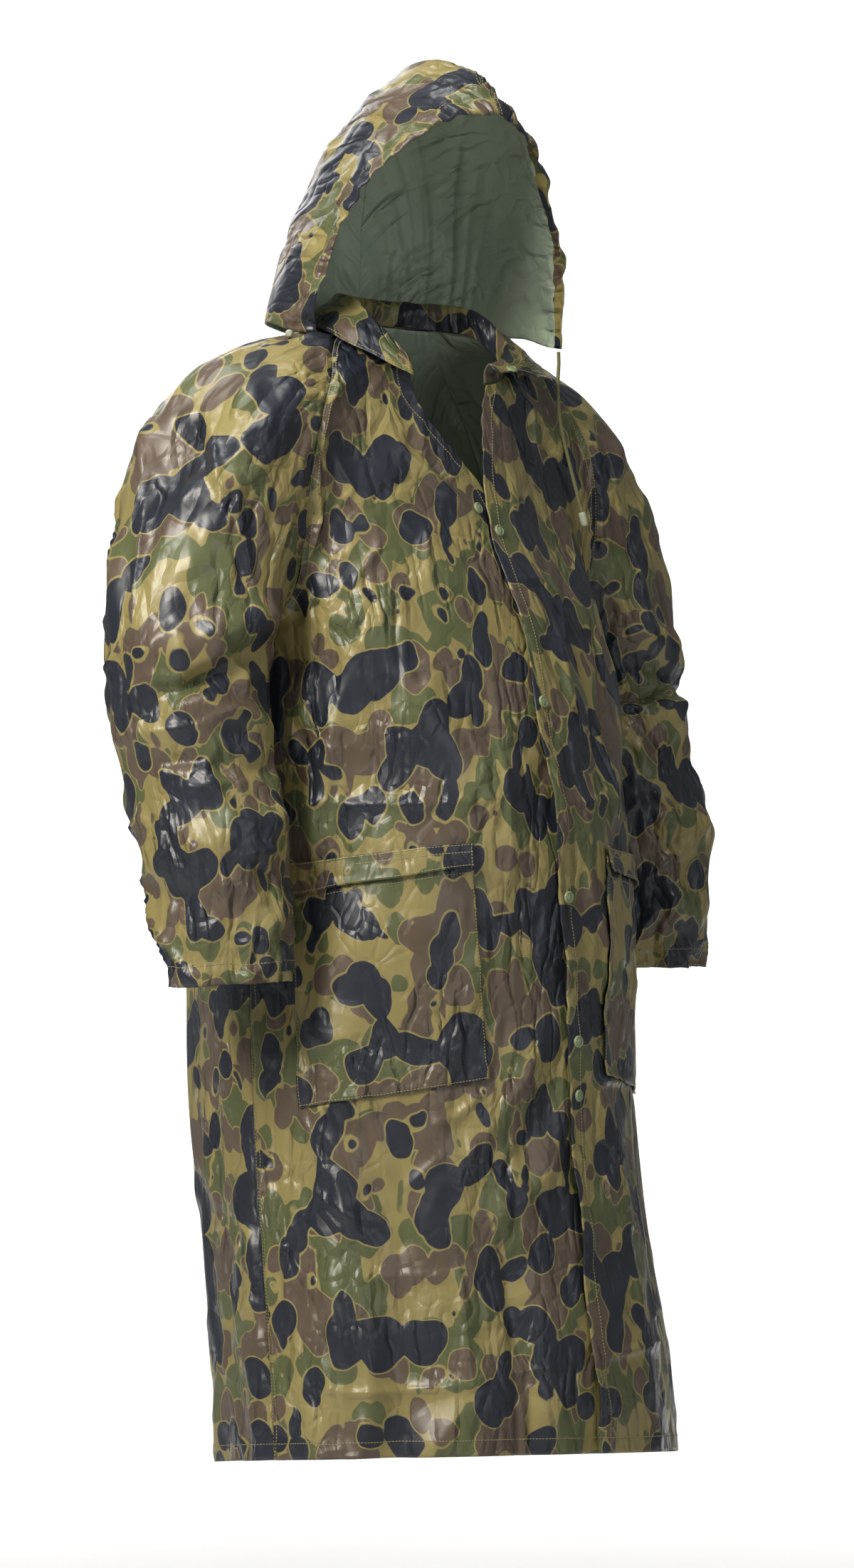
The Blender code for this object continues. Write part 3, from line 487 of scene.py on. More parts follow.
def hoodPoints(countAlong, countUp):
    keys = np.linspace(0, 1, len(hoodValues["sections"]))
    share = np.linspace(0, 1, countAlong)
    edgeX, edgeY, edgeZ, topY, topZ, *shapes = [
        smoothColumn(hoodValues["sections"], keys, column, share)[:, None] for column in range(9)]
    up = np.linspace(0, 1, countUp)[None, :]
    u = up[..., None]
    corner = np.stack([edgeX + 0 * up, edgeY + 0 * up, edgeZ + 0 * up], axis=-1)
    crown = np.stack([0 * edgeX + 0 * up, topY + 0 * up, topZ + 0 * up], axis=-1)
    lean = (topY - edgeY) * hoodValues["lean"]
    halves = []
    for side, rise, spread in ((-1.0, *shapes[:2]), (1.0, *shapes[2:])):
        first = corner + np.stack([0 * up + 0 * lean, lean + 0 * up, rise + 0 * up], axis=-1)
        second = crown + np.stack([spread + 0 * up, 0 * up + 0 * spread, 0 * up + 0 * spread], axis=-1)
        half = ((1 - u)**3 * corner + 3 * (1 - u)**2 * u * first + 3 * (1 - u) * u**2 * second
                + u**3 * crown)
        halves.append(half * np.array([side, 1.0, 1.0]))
    whole = np.concatenate([halves[0], halves[1][:, -2::-1]], axis=1)
    turn = np.array(Matrix.Rotation(hoodValues["turn"], 3, "Z"))
    return whole @ turn.T


def wayOut(points):
    run = np.gradient(points, axis=0)
    across = np.gradient(points, axis=1)
    out = np.cross(run, across)
    return out / (np.linalg.norm(out, axis=-1, keepdims=True) + 1e-12)


def collarPoints(columns, rows):
    keys = np.radians([row[0] for row in collarValues["rows"]])
    angle = np.linspace(keys[0], keys[-1], columns)
    stand, crest, edgeAngle, edgeReach, edgeZ = [
        smoothColumn(collarValues["rows"], keys, column, angle) for column in range(1, 6)]
    edgeAngle = np.radians(edgeAngle)
    foot = neckPoint(angle)
    centre = np.array([0.0, neckCentreY, 0.0])
    way = np.stack([np.sin(angle), -np.cos(angle), 0 * angle], axis=-1)
    lift = np.array([0.0, 0.0, 1.0])
    foot = foot + lift * collarValues["foot"] - way * collarValues["inset"]
    innerTop = foot + lift * stand[:, None] + way * 0.3 * crest[:, None]
    height = collarValues["crest"]
    top = foot + lift * (stand + height)[:, None] + way * crest[:, None]
    outerTop = foot + lift * (stand - 0.25 * height)[:, None] + way * 2.1 * crest[:, None]
    edgeWay = np.stack([np.sin(edgeAngle), -np.cos(edgeAngle), 0 * angle], axis=-1)
    edge = centre + edgeWay * edgeReach[:, None] + lift * edgeZ[:, None]
    middle = 0.5 * (outerTop + edge) + lift * collarValues["bow"]
    grid = []
    for column in range(columns):
        line = [foot[column], innerTop[column], top[column], outerTop[column],
                middle[column], edge[column]]
        grid.append(runAlong(line, rows))
    grid = np.stack(grid, axis=1)
    rest = grid[rows // 2:]
    for _turn in range(4):
        slope = slopeOf(coatField, rest)
        short = np.clip(collarValues["clear"] - coatField(rest), 0, None)
        rest = rest + slope * (short / (np.sum(slope**2, axis=-1) + 1e-9))[..., None]
    grid[rows // 2:] = rest
    return grid


def lapLift(angle, z):
    edgeX = np.interp(z, *np.transpose(frontValues["edgeLeft"]))
    width = (angle - np.arcsin(edgeX / bodyRing(z)[0])) * bodyMeanRadius
    return lapRise * (1 - softStep((width - lapFlat) / (lapReach - lapFlat)))


def bagLift(across, up):
    return (pocketValues["bagRise"]
            + pocketValues["bagPuff"] * np.sin(math.pi * across) * np.sin(math.pi * up))


def flapLift(across, up):
    return pocketValues["flapRise"] + pocketValues["flapFreeLift"] * (1 - up) + 0 * across


def refine(grid, times):
    for axis in (0, 1):   # the same surface with more points, through the given ones
        grid = np.moveaxis(grid, axis, 0)
        at = np.linspace(0, len(grid) - 1, (len(grid) - 1) * times + 1)
        place = np.clip(at.astype(int), 0, len(grid) - 2)
        t = (at - place).reshape(-1, *[1] * (grid.ndim - 1))
        slope = np.gradient(grid, axis=0)
        grid = ((2 * t**3 - 3 * t**2 + 1) * grid[place] + (t**3 - 2 * t**2 + t) * slope[place]
                + (3 * t**2 - 2 * t**3) * grid[place + 1] + (t**3 - t**2) * slope[place + 1])
        grid = np.moveaxis(grid, 0, axis)
    return grid


def softNoise(s, t, size, seed):
    table = np.random.RandomState(seed).uniform(-1, 1, (noiseTable, noiseTable))
    x, y = s / size[0], t / size[1]
    i, j = np.floor(x).astype(int), np.floor(y).astype(int)
    u, v = softStep(x - i), softStep(y - j)
    corner = [[table[(i + a) % noiseTable, (j + b) % noiseTable] for b in (0, 1)] for a in (0, 1)]
    low = corner[0][0] * (1 - u) + corner[1][0] * u
    high = corner[0][1] * (1 - u) + corner[1][1] * u
    return low * (1 - v) + high * v


def facets(s, t, size, seed):
    spots = np.random.RandomState(seed).uniform(0, 1, (noiseTable, noiseTable, 2))
    x, y = s / size[0], t / size[1]
    first = np.full(np.shape(x), 9.0)   # distance to the nearest spot, and to the next nearest
    second = first.copy()
    for a in (-1, 0, 1):
        for b in (-1, 0, 1):
            i, j = np.floor(x).astype(int) + a, np.floor(y).astype(int) + b
            spot = spots[i % noiseTable, j % noiseTable]
            away = np.hypot(i + spot[..., 0] - x, j + spot[..., 1] - y)
            second = np.minimum(second, np.maximum(first, away))
            first = np.minimum(first, away)
    return np.clip(second - first, 0, 1)   # 0 along a net of lines


def crumple(s, t, seed, size, depth, share):
    warpS = s + size * crumpleWarp * softNoise(s, t, (size, size * 1.3), seed + 11)
    warpT = t + size * crumpleWarp * softNoise(s, t, (size, size * 1.3), seed + 12)
    net = facets(warpS, warpT, (size, size * crumpleStretch), seed)
    where = softStep(softNoise(s, t, (3 * size, 4 * size), seed + 13) + share)
    return depth * (1 - softStep(net / crumpleWidth)) * where


def ridges(s, t, seed, across, along, depth, share):
    turn = ridgeTurn * np.random.RandomState(seed).uniform(-1, 1)
    u = s * math.cos(turn) + t * math.sin(turn)
    v = t * math.cos(turn) - s * math.sin(turn)
    u = u + ridgeWarp * across * softNoise(s, t, (across, along), seed + 1)
    sharp = 1 - 2 * np.sqrt(softNoise(u, v, (across, along), seed + 2)**2 + ridgeRound**2)
    where = softStep(softNoise(s, t, (2.5 * across, 2.5 * along), seed + 3) + share)
    return depth * sharp * where   # sharp lines along the top, smooth slopes between them


def sharpCreases(table, s, t):
    relief = 0 * s
    for width, depth, *line in table:
        places = np.reshape(line, (-1, 2))
        lengths = np.linalg.norm(np.diff(places, axis=0), axis=1)
        nearest, share, reach = np.full(np.shape(s), 9.0), 0 * s, 0.0
        for start, end, length in zip(places[:-1], places[1:], lengths):
            run = (end - start) / length
            along = np.clip((s - start[0]) * run[0] + (t - start[1]) * run[1], 0, length)
            x, y = s - start[0] - along * run[0], t - start[1] - along * run[1]
            away = np.hypot(x, y) * np.where(x * run[1] - y * run[0] > 0, creaseSteep, 1.0)
            share = np.where(away < nearest, (reach + along) / np.sum(lengths), share)
            nearest = np.minimum(nearest, away)
            reach = reach + length
        taper = softStep(np.minimum(share, 1 - share) * creaseTaper + creaseEnd)
        relief = relief + creaseStrength * depth * np.exp(-nearest / width) * taper
    return relief


def developed(points, out, axis):
    around = np.cross(axis, out)
    around = around / (np.linalg.norm(around, axis=-1, keepdims=True) + 1e-9)
    along = np.cross(out, around)
    middle = points.shape[1] // 2
    places = []
    for way in (around, along):
        across = np.sum(np.diff(points, axis=1) * (way[:, 1:] + way[:, :-1]) / 2, axis=-1)
        upward = np.sum(np.diff(points, axis=0) * (way[1:] + way[:-1]) / 2, axis=-1)[:, middle]
        reach = np.concatenate([np.zeros((len(points), 1)), np.cumsum(across, axis=1)], axis=1)
        rise = np.concatenate([[0], np.cumsum(upward)])[:, None]
        places.append(reach - reach[:, middle:middle + 1] + rise)
    return places   # metres on the cut cloth, around the axis and along it


def developedRing(s, t):
    reach = collarValues["ringRadius"] + t
    turn = s[:1] / collarValues["ringRadius"] + 0 * t
    return reach * np.cos(turn), reach * np.sin(turn)


def edgeDistances(points):
    across = np.linalg.norm(np.diff(points, axis=1), axis=2)
    upward = np.linalg.norm(np.diff(points, axis=0), axis=2)
    first = np.concatenate([np.zeros((len(points), 1)), np.cumsum(across, axis=1)], axis=1)
    start = np.concatenate([np.zeros((1, points.shape[1])), np.cumsum(upward, axis=0)], axis=0)
    return {"first": first, "last": first[:, -1:] - first, "start": start, "end": start[-1:] - start}


def seamRelief(edges, kinds, s, t, seed):
    fade, relief, fell = 1.0, 0 * s, 0 * s
    for side, kind in kinds.items():
        away = edges[side]
        size = (puckerLong, puckerShort) if side in ("first", "last") else (puckerShort, puckerLong)
        if kind != "hem":   # two pieces meet here, so both come down to the same line
            fade = fade * softStep(away / seamFadeReach)
            relief = relief + seamPucker * softNoise(s, t, size, seed) * np.exp(-away / puckerReach)
            relief = relief + crumple(s, t, seed + 5, *seamCrumple) * np.exp(-away / seamCrumpleReach)
        if kind == "fell":
            end = 1 - softStep((away - fellWidth) / fellStep)
            fell = fell + fellRise * softStep(away / fellStep) * end
        if kind == "hem":
            relief = relief + hemPucker * softNoise(s, t, size, seed + 1) * np.exp(-away / puckerReach)
            relief = relief + hemRise * (1 - softStep((away - hemWidth) / hemStep))
    return fade, relief, fell


def clothPiece(name, points, out, cut, looks, turned=None, thickness=clothThickness):
    turn = np.cross(np.gradient(points, axis=1), np.gradient(points, axis=0))
    if np.sum(turn * out) < 0:
        points, cut = points[:, ::-1], cut[:, ::-1]
        turned = None if turned is None else turned[:, ::-1]
    rows, columns = points.shape[:2]
    form = bmesh.new()
    bmesh.ops.create_grid(form, x_segments=columns - 1, y_segments=rows - 1, size=1.0)
    mesh = bpy.data.meshes.new(name)
    form.to_mesh(mesh)
    form.free()
    mesh.vertices.foreach_set("co", points.reshape(-1))
    corner = np.empty(len(mesh.loops), dtype=np.int32)
    mesh.loops.foreach_get("vertex_index", corner)
    mesh.uv_layers.new(name="cut")
    mesh.uv_layers["cut"].data.foreach_set("uv", cut.reshape(-1, 2)[corner].reshape(-1))
    mesh.update()
    mesh.shade_smooth()
    for look in (*looks, looks[0], looks[0]):
        mesh.materials.append(look)
    if turned is not None:   # where the cloth is folded to the inside, its print shows there too
        mesh.polygons.foreach_set("material_index", 2 * turned[:-1, :-1].astype(np.int32).reshape(-1))
    piece = bpy.data.objects.new(name, mesh)
    scene.collection.objects.link(piece)
    shell = piece.modifiers.new("wall", "SOLIDIFY")
    shell.thickness = thickness
    shell.offset = -1.0
    shell.material_offset = 1
    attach(piece, "root")
    return piece


def stitches(name, lines, look):
    part = np.array(stitchValues["part"])
    width, height = stitchValues["width"], stitchValues["height"]
    form = bmesh.new()
    for points, out in lines:
        steps = np.linalg.norm(np.diff(points, axis=0), axis=1)
        reach = np.concatenate([[0], np.cumsum(steps)])
        count = int(reach[-1] / stitchValues["pitch"])
        for index in range(count):
            ends = (index + part) * stitchValues["pitch"]
            a, b = [np.array([np.interp(end, reach, points[:, axis]) for axis in range(3)])
                    for end in ends]
            up = np.array([np.interp(ends[0], reach, out[:, axis]) for axis in range(3)])
            run = Vector(b - a)
            side = run.cross(Vector(up)).normalized()
            top = side.cross(run).normalized()
            turn = Matrix((run, side * width, top * height)).transposed().to_4x4()
            bmesh.ops.create_cube(form, size=1.0, matrix=Matrix.Translation(Vector((a + b) / 2)) @ turn)
    mesh = bpy.data.meshes.new(name)
    form.to_mesh(mesh)
    form.free()
    mesh.materials.append(look)
    piece = bpy.data.objects.new(name, mesh)
    scene.collection.objects.link(piece)
    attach(piece, "root")
    return piece


def link(tree, source, target):
    tree.links.new(source, target)


def mathNode(tree, operation, a, b=0.0):
    node = tree.nodes.new("ShaderNodeMath")
    node.operation = operation
    for socket, value in zip(node.inputs, (a, b)):
        if isinstance(value, bpy.types.NodeSocket):
            link(tree, value, socket)
        else:
            socket.default_value = value
    return node.outputs[0]


def mixColour(tree, share, low, high):
    node = tree.nodes.new("ShaderNodeMix")
    node.data_type = "RGBA"
    if isinstance(share, bpy.types.NodeSocket):
        link(tree, share, node.inputs[0])
    else:
        node.inputs[0].default_value = share
    for socket, value in ((node.inputs[6], low), (node.inputs[7], high)):
        if isinstance(value, bpy.types.NodeSocket):
            link(tree, value, socket)
        else:
            socket.default_value = (*value, 1.0)
    return node.outputs[2]


def mapped(tree, source, scale, shift=(0.0, 0.0, 0.0)):
    node = tree.nodes.new("ShaderNodeMapping")
    node.inputs["Scale"].default_value = scale
    node.inputs["Location"].default_value = shift
    link(tree, source, node.inputs["Vector"])
    return node.outputs["Vector"]


def noiseNode(tree, vector, scale, detail, output="Fac"):
    node = tree.nodes.new("ShaderNodeTexNoise")
    node.inputs["Scale"].default_value = scale
    node.inputs["Detail"].default_value = detail
    link(tree, vector, node.inputs["Vector"])
    return node.outputs[output]


def blobDistance(tree, vector, layer):
    warp = noiseNode(tree, vector, camouflagePrint["warpScale"], 1.0, "Color")
    centred = tree.nodes.new("ShaderNodeVectorMath")
    centred.operation = "MULTIPLY_ADD"
    link(tree, warp, centred.inputs[0])
    centred.inputs[1].default_value = (2 * camouflagePrint["warp"],) * 3
    centred.inputs[2].default_value = (-camouflagePrint["warp"],) * 3
    moved = tree.nodes.new("ShaderNodeVectorMath")
    link(tree, mapped(tree, vector, layer["stretch"], layer["shift"]), moved.inputs[0])
    link(tree, centred.outputs[0], moved.inputs[1])
    node = tree.nodes.new("ShaderNodeTexVoronoi")
    node.voronoi_dimensions = "2D"
    node.feature = "SMOOTH_F1"
    node.inputs["Scale"].default_value = layer["scale"]
    node.inputs["Smoothness"].default_value = camouflagePrint["smooth"]
    link(tree, moved.outputs[0], node.inputs["Vector"])
    shifted = mapped(tree, vector, (1.0, 1.0, 1.0), layer["shift"])
    region = noiseNode(tree, shifted, layer["regionScale"], 0.0)
    uneven = mathNode(tree, "MULTIPLY", mathNode(tree, "SUBTRACT", region, 0.5), layer["region"])
    return mathNode(tree, "ADD", node.outputs["Distance"], uneven)


def spread(tree, value, low, high):
    ramp = tree.nodes.new("ShaderNodeMapRange")
    link(tree, value, ramp.inputs["Value"])
    ramp.inputs["From Min"].default_value = low
    ramp.inputs["From Max"].default_value = high
    return ramp.outputs["Result"]


def camouflage(tree, vector):
    broad = noiseNode(tree, vector, camouflagePrint["baseScale"], 2.0)
    base = mixColour(tree, broad, camouflagePrint["baseLow"], camouflagePrint["baseHigh"])
    soft = camouflagePrint["soft"]
    colour = base
    for layer in camouflagePrint["layers"]:
        distance = blobDistance(tree, vector, layer)
        if layer["halo"] > 0:
            reach = layer["edge"] + layer["halo"]
            rim = spread(tree, distance, reach + soft, reach - soft)
            colour = mixColour(tree, rim, colour, base)
        inside = spread(tree, distance, layer["edge"] + soft, layer["edge"] - soft)
        mottle = noiseNode(tree, vector, camouflagePrint["toneScale"], 2.0)
        colour = mixColour(tree, inside, colour, mixColour(tree, mottle, layer["low"], layer["high"]))
    return colour


def newMaterial(name, roughness):
    material = bpy.data.materials.new(name)
    material.use_nodes = True
    tree = material.node_tree
    shader = tree.nodes["Principled BSDF"]
    shader.inputs["Roughness"].default_value = roughness
    return material, tree, shader


def addBump(tree, shader, height, distance, before=None):
    bump = tree.nodes.new("ShaderNodeBump")
    bump.inputs["Strength"].default_value = 1.0
    bump.inputs["Distance"].default_value = distance
    link(tree, height, bump.inputs["Height"])
    if before is not None:
        link(tree, before, bump.inputs["Normal"])
    link(tree, bump.outputs["Normal"], shader.inputs["Normal"])
    return bump.outputs["Normal"]


def crinkleBump(tree, shader, vector, creases):
    warp = noiseNode(tree, vector, creases["warpScale"], 2.0, "Color")
    moved = tree.nodes.new("ShaderNodeVectorMath")
    moved.operation = "MULTIPLY_ADD"
    link(tree, warp, moved.inputs[0])
    moved.inputs[1].default_value = (creases["warp"],) * 3
    link(tree, vector, moved.inputs[2])
    before = None
    for layer in creases["streaks"]:
        turned = tree.nodes.new("ShaderNodeMapping")
        turned.inputs["Rotation"].default_value = (0.0, 0.0, layer["turn"])
        turned.inputs["Scale"].default_value = layer["scale"]
        link(tree, moved.outputs[0], turned.inputs["Vector"])
        streak = noiseNode(tree, turned.outputs["Vector"], 1.0, 1.0)
        middle = mathNode(tree, "ABSOLUTE", mathNode(tree, "SUBTRACT", streak, 0.5))
        groove = spread(tree, middle, 0.0, layer["edge"])
        where = spread(tree, noiseNode(tree, vector, layer["places"], 1.0), layer["low"], layer["high"])
        height = mathNode(tree, "MULTIPLY", groove, where)
        before = addBump(tree, shader, height, layer["depth"], before)
    for layer in creases["layers"]:
        node = tree.nodes.new("ShaderNodeTexVoronoi")
        node.voronoi_dimensions = "2D"
        node.feature = "DISTANCE_TO_EDGE"
        node.inputs["Scale"].default_value = layer["scale"]
        link(tree, mapped(tree, moved.outputs[0], (1.0, layer["stretch"], 1.0)), node.inputs["Vector"])
        groove = spread(tree, node.outputs["Distance"], 0.0, layer["edge"])
        where = spread(tree, noiseNode(tree, vector, layer["places"], 1.0), layer["low"], layer["high"])
        height = mathNode(tree, "MULTIPLY", groove, where)
        before = addBump(tree, shader, height, layer["depth"], before)
    fine = noiseNode(tree, vector, creases["grainScale"], 2.0)
    addBump(tree, shader, fine, creases["grainDepth"], before)


def clothMaterials():
    outer, tree, shader = newMaterial("coatedCloth", gloss["roughness"])
    places = tree.nodes.new("ShaderNodeUVMap")
    places.uv_map = "cut"
    vector = places.outputs["UV"]
    link(tree, camouflage(tree, vector), shader.inputs["Base Color"])
    shader.inputs["Specular IOR Level"].default_value = gloss["specular"]
    shader.inputs["Coat Weight"].default_value = gloss["coat"]
    shader.inputs["Coat Roughness"].default_value = gloss["coatRoughness"]
    crinkleBump(tree, shader, vector, crinkles)
    inner, tree, shader = newMaterial("clothInside", gloss["insideRoughness"])
    places = tree.nodes.new("ShaderNodeUVMap")
    places.uv_map = "cut"
    vector = places.outputs["UV"]
    tone = mixColour(tree, noiseNode(tree, vector, insideScale, 3.0), insideLow, insideHigh)
    link(tree, tone, shader.inputs["Base Color"])
    crinkleBump(tree, shader, vector, crinkles)
    return [outer, inner]


def plainMaterial(name):
    colour, roughness, grain, depth = plainLooks[name]
    material, tree, shader = newMaterial(name, roughness)
    places = tree.nodes.new("ShaderNodeTexCoord")
    vector = places.outputs["Object"]
    low = tuple(plainDark * value for value in colour)
    tone = mixColour(tree, noiseNode(tree, vector, grain * plainMottle, 2.0), low, colour)
    link(tree, tone, shader.inputs["Base Color"])
    addBump(tree, shader, noiseNode(tree, vector, grain, 2.0), depth)
    return material


def pointAt(right, back, up):
    return Vector((viewRight[0] * right + viewBack[0] * back,
                   viewRight[1] * right + viewBack[1] * back, up))


def areaLight(name, place, target, size, power, colour):
    data = bpy.data.lights.new(name, "AREA")
    data.shape = "RECTANGLE"
    data.size, data.size_y = size
    data.energy = power
    data.color = colour
    light = bpy.data.objects.new(name, data)
    light.location = place
    light.rotation_euler = (place - target).to_track_quat("Z", "Y").to_euler()
    scene.collection.objects.link(light)


def cordPiece(name, route, look):
    line = runAlong(route, 3 + int(cordValues["fineCount"] * len(route)))
    curve = bpy.data.curves.new(name, "CURVE")
    curve.dimensions = "3D"
    curve.bevel_depth = cordValues["diameter"] / 2
    curve.bevel_resolution = 3
    curve.use_fill_caps = True
    spline = curve.splines.new("POLY")
    spline.points.add(len(line) - 1)
    for point, place in zip(spline.points, line):
        point.co = (*place, 1.0)
    curve.materials.append(look)
    piece = bpy.data.objects.new(name, curve)
    scene.collection.objects.link(piece)
    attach(piece, "root")
    return piece


def turnedPiece(name, profile, start, way, look):
    form = bmesh.new()
    bmesh.ops.create_grid(form, x_segments=turnedSides, y_segments=len(profile) - 1, size=1.0)
    form.verts.ensure_lookup_table()
    for index, vert in enumerate(form.verts):
        row, column = divmod(index, turnedSides + 1)
        angle = 2 * math.pi * column / turnedSides
        radius, height = profile[row]
        vert.co = (radius * math.cos(angle), radius * math.sin(angle), height)
    bmesh.ops.remove_doubles(form, verts=form.verts[:], dist=turnedMerge)
    bmesh.ops.recalc_face_normals(form, faces=form.faces[:])
    turn = Vector(way).to_track_quat("Z", "Y").to_matrix().to_4x4()
    bmesh.ops.transform(form, matrix=Matrix.Translation(Vector(start)) @ turn, verts=form.verts[:])
    mesh = bpy.data.meshes.new(name)
    form.to_mesh(mesh)
    form.free()
    mesh.shade_smooth()
    mesh.set_sharp_from_angle(angle=math.radians(40))
    mesh.materials.append(look)
    piece = bpy.data.objects.new(name, mesh)
    scene.collection.objects.link(piece)
    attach(piece, "root")
    return piece


def outwards(points, out):
    turn = np.cross(np.gradient(points, axis=1), np.gradient(points, axis=0))
    turn = turn / (np.linalg.norm(turn, axis=-1, keepdims=True) + 1e-12)
    return turn * np.sign(np.sum(turn * out))


def finerCloth(values, creases, s, t, seed):
    finer = values["drape"] * softNoise(s, t, values["drapeSize"], seed)
    for row in values["crumples"]:
        finer = finer + crumple(s, t, seed + int(1000 * row[0]), *row)
    for row in values["ridges"]:
        finer = finer + ridges(s, t, seed + int(1000 * row[0]), *row)
    return finer + sharpCreases(creases, s, t)


def bodyPanel(angle, z, shift, values, lap=False):
    seed = values["seed"]
    points, out = settle(coatField, bodyGuess(angle, z) + shift)
    room = np.where(points[..., 2] < underarm[2], roomFade(nearArmField(points)), 1.0)
    calm = softStep((neckCalmZ - points[..., 2]) / neckCalmReach)
    hold = seamFade(points, allSeams) * calm * room
    parts = [points, out, angle[..., None], z[..., None], hold[..., None], (room * calm)[..., None]]
    fine = refine(np.concatenate(parts, axis=2), values["times"])
    points, out, angle, z = fine[..., :3], fine[..., 3:6], fine[..., 6], fine[..., 7]
    out = out / np.linalg.norm(out, axis=-1, keepdims=True)
    hold, free = np.clip(fine[..., 8], 0, 1), np.clip(fine[..., 9], 0, 1)
    relief = foldRelief(bodyValues["folds"], angle, z, bodyMeanRadius, 1.0) * hold
    if lap:
        relief = relief + lapLift(angle, z)
    places = developed(points, out, (0.0, 0.0, 1.0))
    points = points + out * relief[..., None]
    s, t = angle * bodyMeanRadius, z
    edges = edgeDistances(points)
    fade, edgeRelief, fell = seamRelief(edges, values["kinds"], s, t, seed)
    finer = finerCloth(bodyValues, bodyValues["creases"], s, t, seed)
    if lap:
        for height, half, depth in frontValues["gapes"]:
            bow = softStep(1 - np.abs(z - height) / half)
            finer = finer + depth * bow * np.exp(-(edges["first"] / frontValues["gapeReach"])**2)
    points = points + out * ((finer * free + edgeRelief) * fade + fell)[..., None]
    return (points, outwards(points, out)), places


def sleevePanel(side, frontSeam, backSeam, creases):
    seed = sleeveValues["seed"] + side
    neckAngles = np.linspace(side * shoulderFront, side * shoulderBack, sleeveValues["neckColumns"])
    along, angle, shift = sleeveGrid(side, frontSeam, backSeam, neckPoint(neckAngles))
    points, out = settle(coatField, armGuess(along, angle, side) + shift)
    below = points[..., 2] < underarm[2] + armRoomAbove
    room = np.where(below, roomFade(bodyField(points)), 1.0)
    hold = seamFade(points, [frontSeam, backSeam]) * room
    parts = [points, out, angle[..., None], along[..., None], hold[..., None], room[..., None]]
    fine = refine(np.concatenate(parts, axis=2), sleeveValues["times"])
    points, out, angle, along = fine[..., :3], fine[..., 3:6], fine[..., 6], fine[..., 7]
    out = out / np.linalg.norm(out, axis=-1, keepdims=True)
    hold, free = np.clip(fine[..., 8], 0, 1), np.clip(fine[..., 9], 0, 1)
    relief = foldRelief(sleeveValues["folds"], angle, along, sleeveMeanRadius, sleeveLength) * hold
    points = points + out * relief[..., None]
    s, t = angle * sleeveMeanRadius, along * sleeveLength
    edges = edgeDistances(points)
    fade, edgeRelief, fell = seamRelief(edges, sleeveValues["kinds"], s, t, seed)
    finer = finerCloth(sleeveValues, creases, s, t, seed)
    points = points + out * ((finer * free + edgeRelief) * fade + fell)[..., None]
    return (points, outwards(points, out)), (s, t)


def panelPiece(name, panel, places, looks, offset, sheet, *nodes, turned=None):
    points, out = panel
    s, t = places
    cut = np.stack([s + offset[0], t + offset[1]], axis=-1)
    piece = clothPiece(name, points, out, cut, looks, turned)
    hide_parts(*nodes)
    return piece


def onGrid(grid, column, row):
    i = np.clip(row.astype(int), 0, grid.shape[0] - 2)
    j = np.clip(column.astype(int), 0, grid.shape[1] - 2)
    u, v = (column - j)[..., None], (row - i)[..., None]
    low = grid[i, j] * (1 - u) + grid[i, j + 1] * u
    high = grid[i + 1, j] * (1 - u) + grid[i + 1, j + 1] * u
    return low * (1 - v) + high * v


def patch(panel, places, corners, counts, shift, lift, seed):
    across = np.linspace(0, 1, counts[0])[None, :]
    up = np.linspace(0, 1, counts[1])[:, None]
    column, row = [(a * (1 - across) + b * across) * (1 - up) + (c * (1 - across) + d * across) * up
                   for a, b, c, d in np.transpose(corners)]
    whole = np.concatenate([*panel, np.stack(places, axis=-1)], axis=-1)
    whole = onGrid(whole, (column + shift) * frontValues["times"], row * frontValues["times"])
    points, out, places = whole[..., :3], whole[..., 3:6], (whole[..., 6], whole[..., 7])
    edges = edgeDistances(points)
    size, depth, reach = pocketValues["pucker"]
    nearest = np.minimum(np.minimum(edges["first"], edges["last"]), edges["start"])
    gathers = depth * np.abs(softNoise(*places, (size, size), seed)) * np.exp(-nearest / reach)
    points = points + out * (lift(across, up) + gathers)[..., None]
    return (points, outwards(points, out)), places


def nearestOn(panel, place):
    points, out = panel
    index = np.argmin(np.linalg.norm(points.reshape(-1, 3) - np.asarray(place), axis=1))
    return points.reshape(-1, 3)[index], out.reshape(-1, 3)[index]


def inset(panel, side, away, span=(0.0, 1.0)):
    grids = list(panel)
    if side in ("first", "last"):
        grids = [np.swapaxes(grid, 0, 1) for grid in grids]
    if side in ("last", "end"):
        grids = [grid[::-1] for grid in grids]
    points, out = grids
    steps = np.linalg.norm(np.diff(points, axis=0), axis=2)
    reach = np.concatenate([np.zeros((1, points.shape[1])), np.cumsum(steps, axis=0)], axis=0)
    count = points.shape[1]
    lines = []
    for grid in (points + out * stitchValues["lift"], out):
        line = [[np.interp(away, reach[:, place], grid[:, place, axis]) for axis in range(3)]
                for place in range(int(span[0] * count), int(span[1] * count))]
        lines.append(np.array(line))
    return lines   # a line that stays this far from one edge of the cloth


# Camera at the photo's angle
cameraValues = {
    "height": -0.4555,
    "shift": 0.0078,
    "distance": 5.0,
    "lens": 104,
}
cameraData = bpy.data.cameras.new("camera")
cameraData.lens = cameraValues["lens"]
cameraData.sensor_fit = "VERTICAL"
cameraData.sensor_height = 36
camera = bpy.data.objects.new("camera", cameraData)
camera.location = pointAt(cameraValues["shift"], cameraValues["distance"], cameraValues["height"])
camera.rotation_euler = Vector((*viewBack, 0.0)).to_track_quat("Z", "Y").to_euler()
scene.collection.objects.link(camera)
scene.camera = camera
scene.view_settings.view_transform = "Standard"

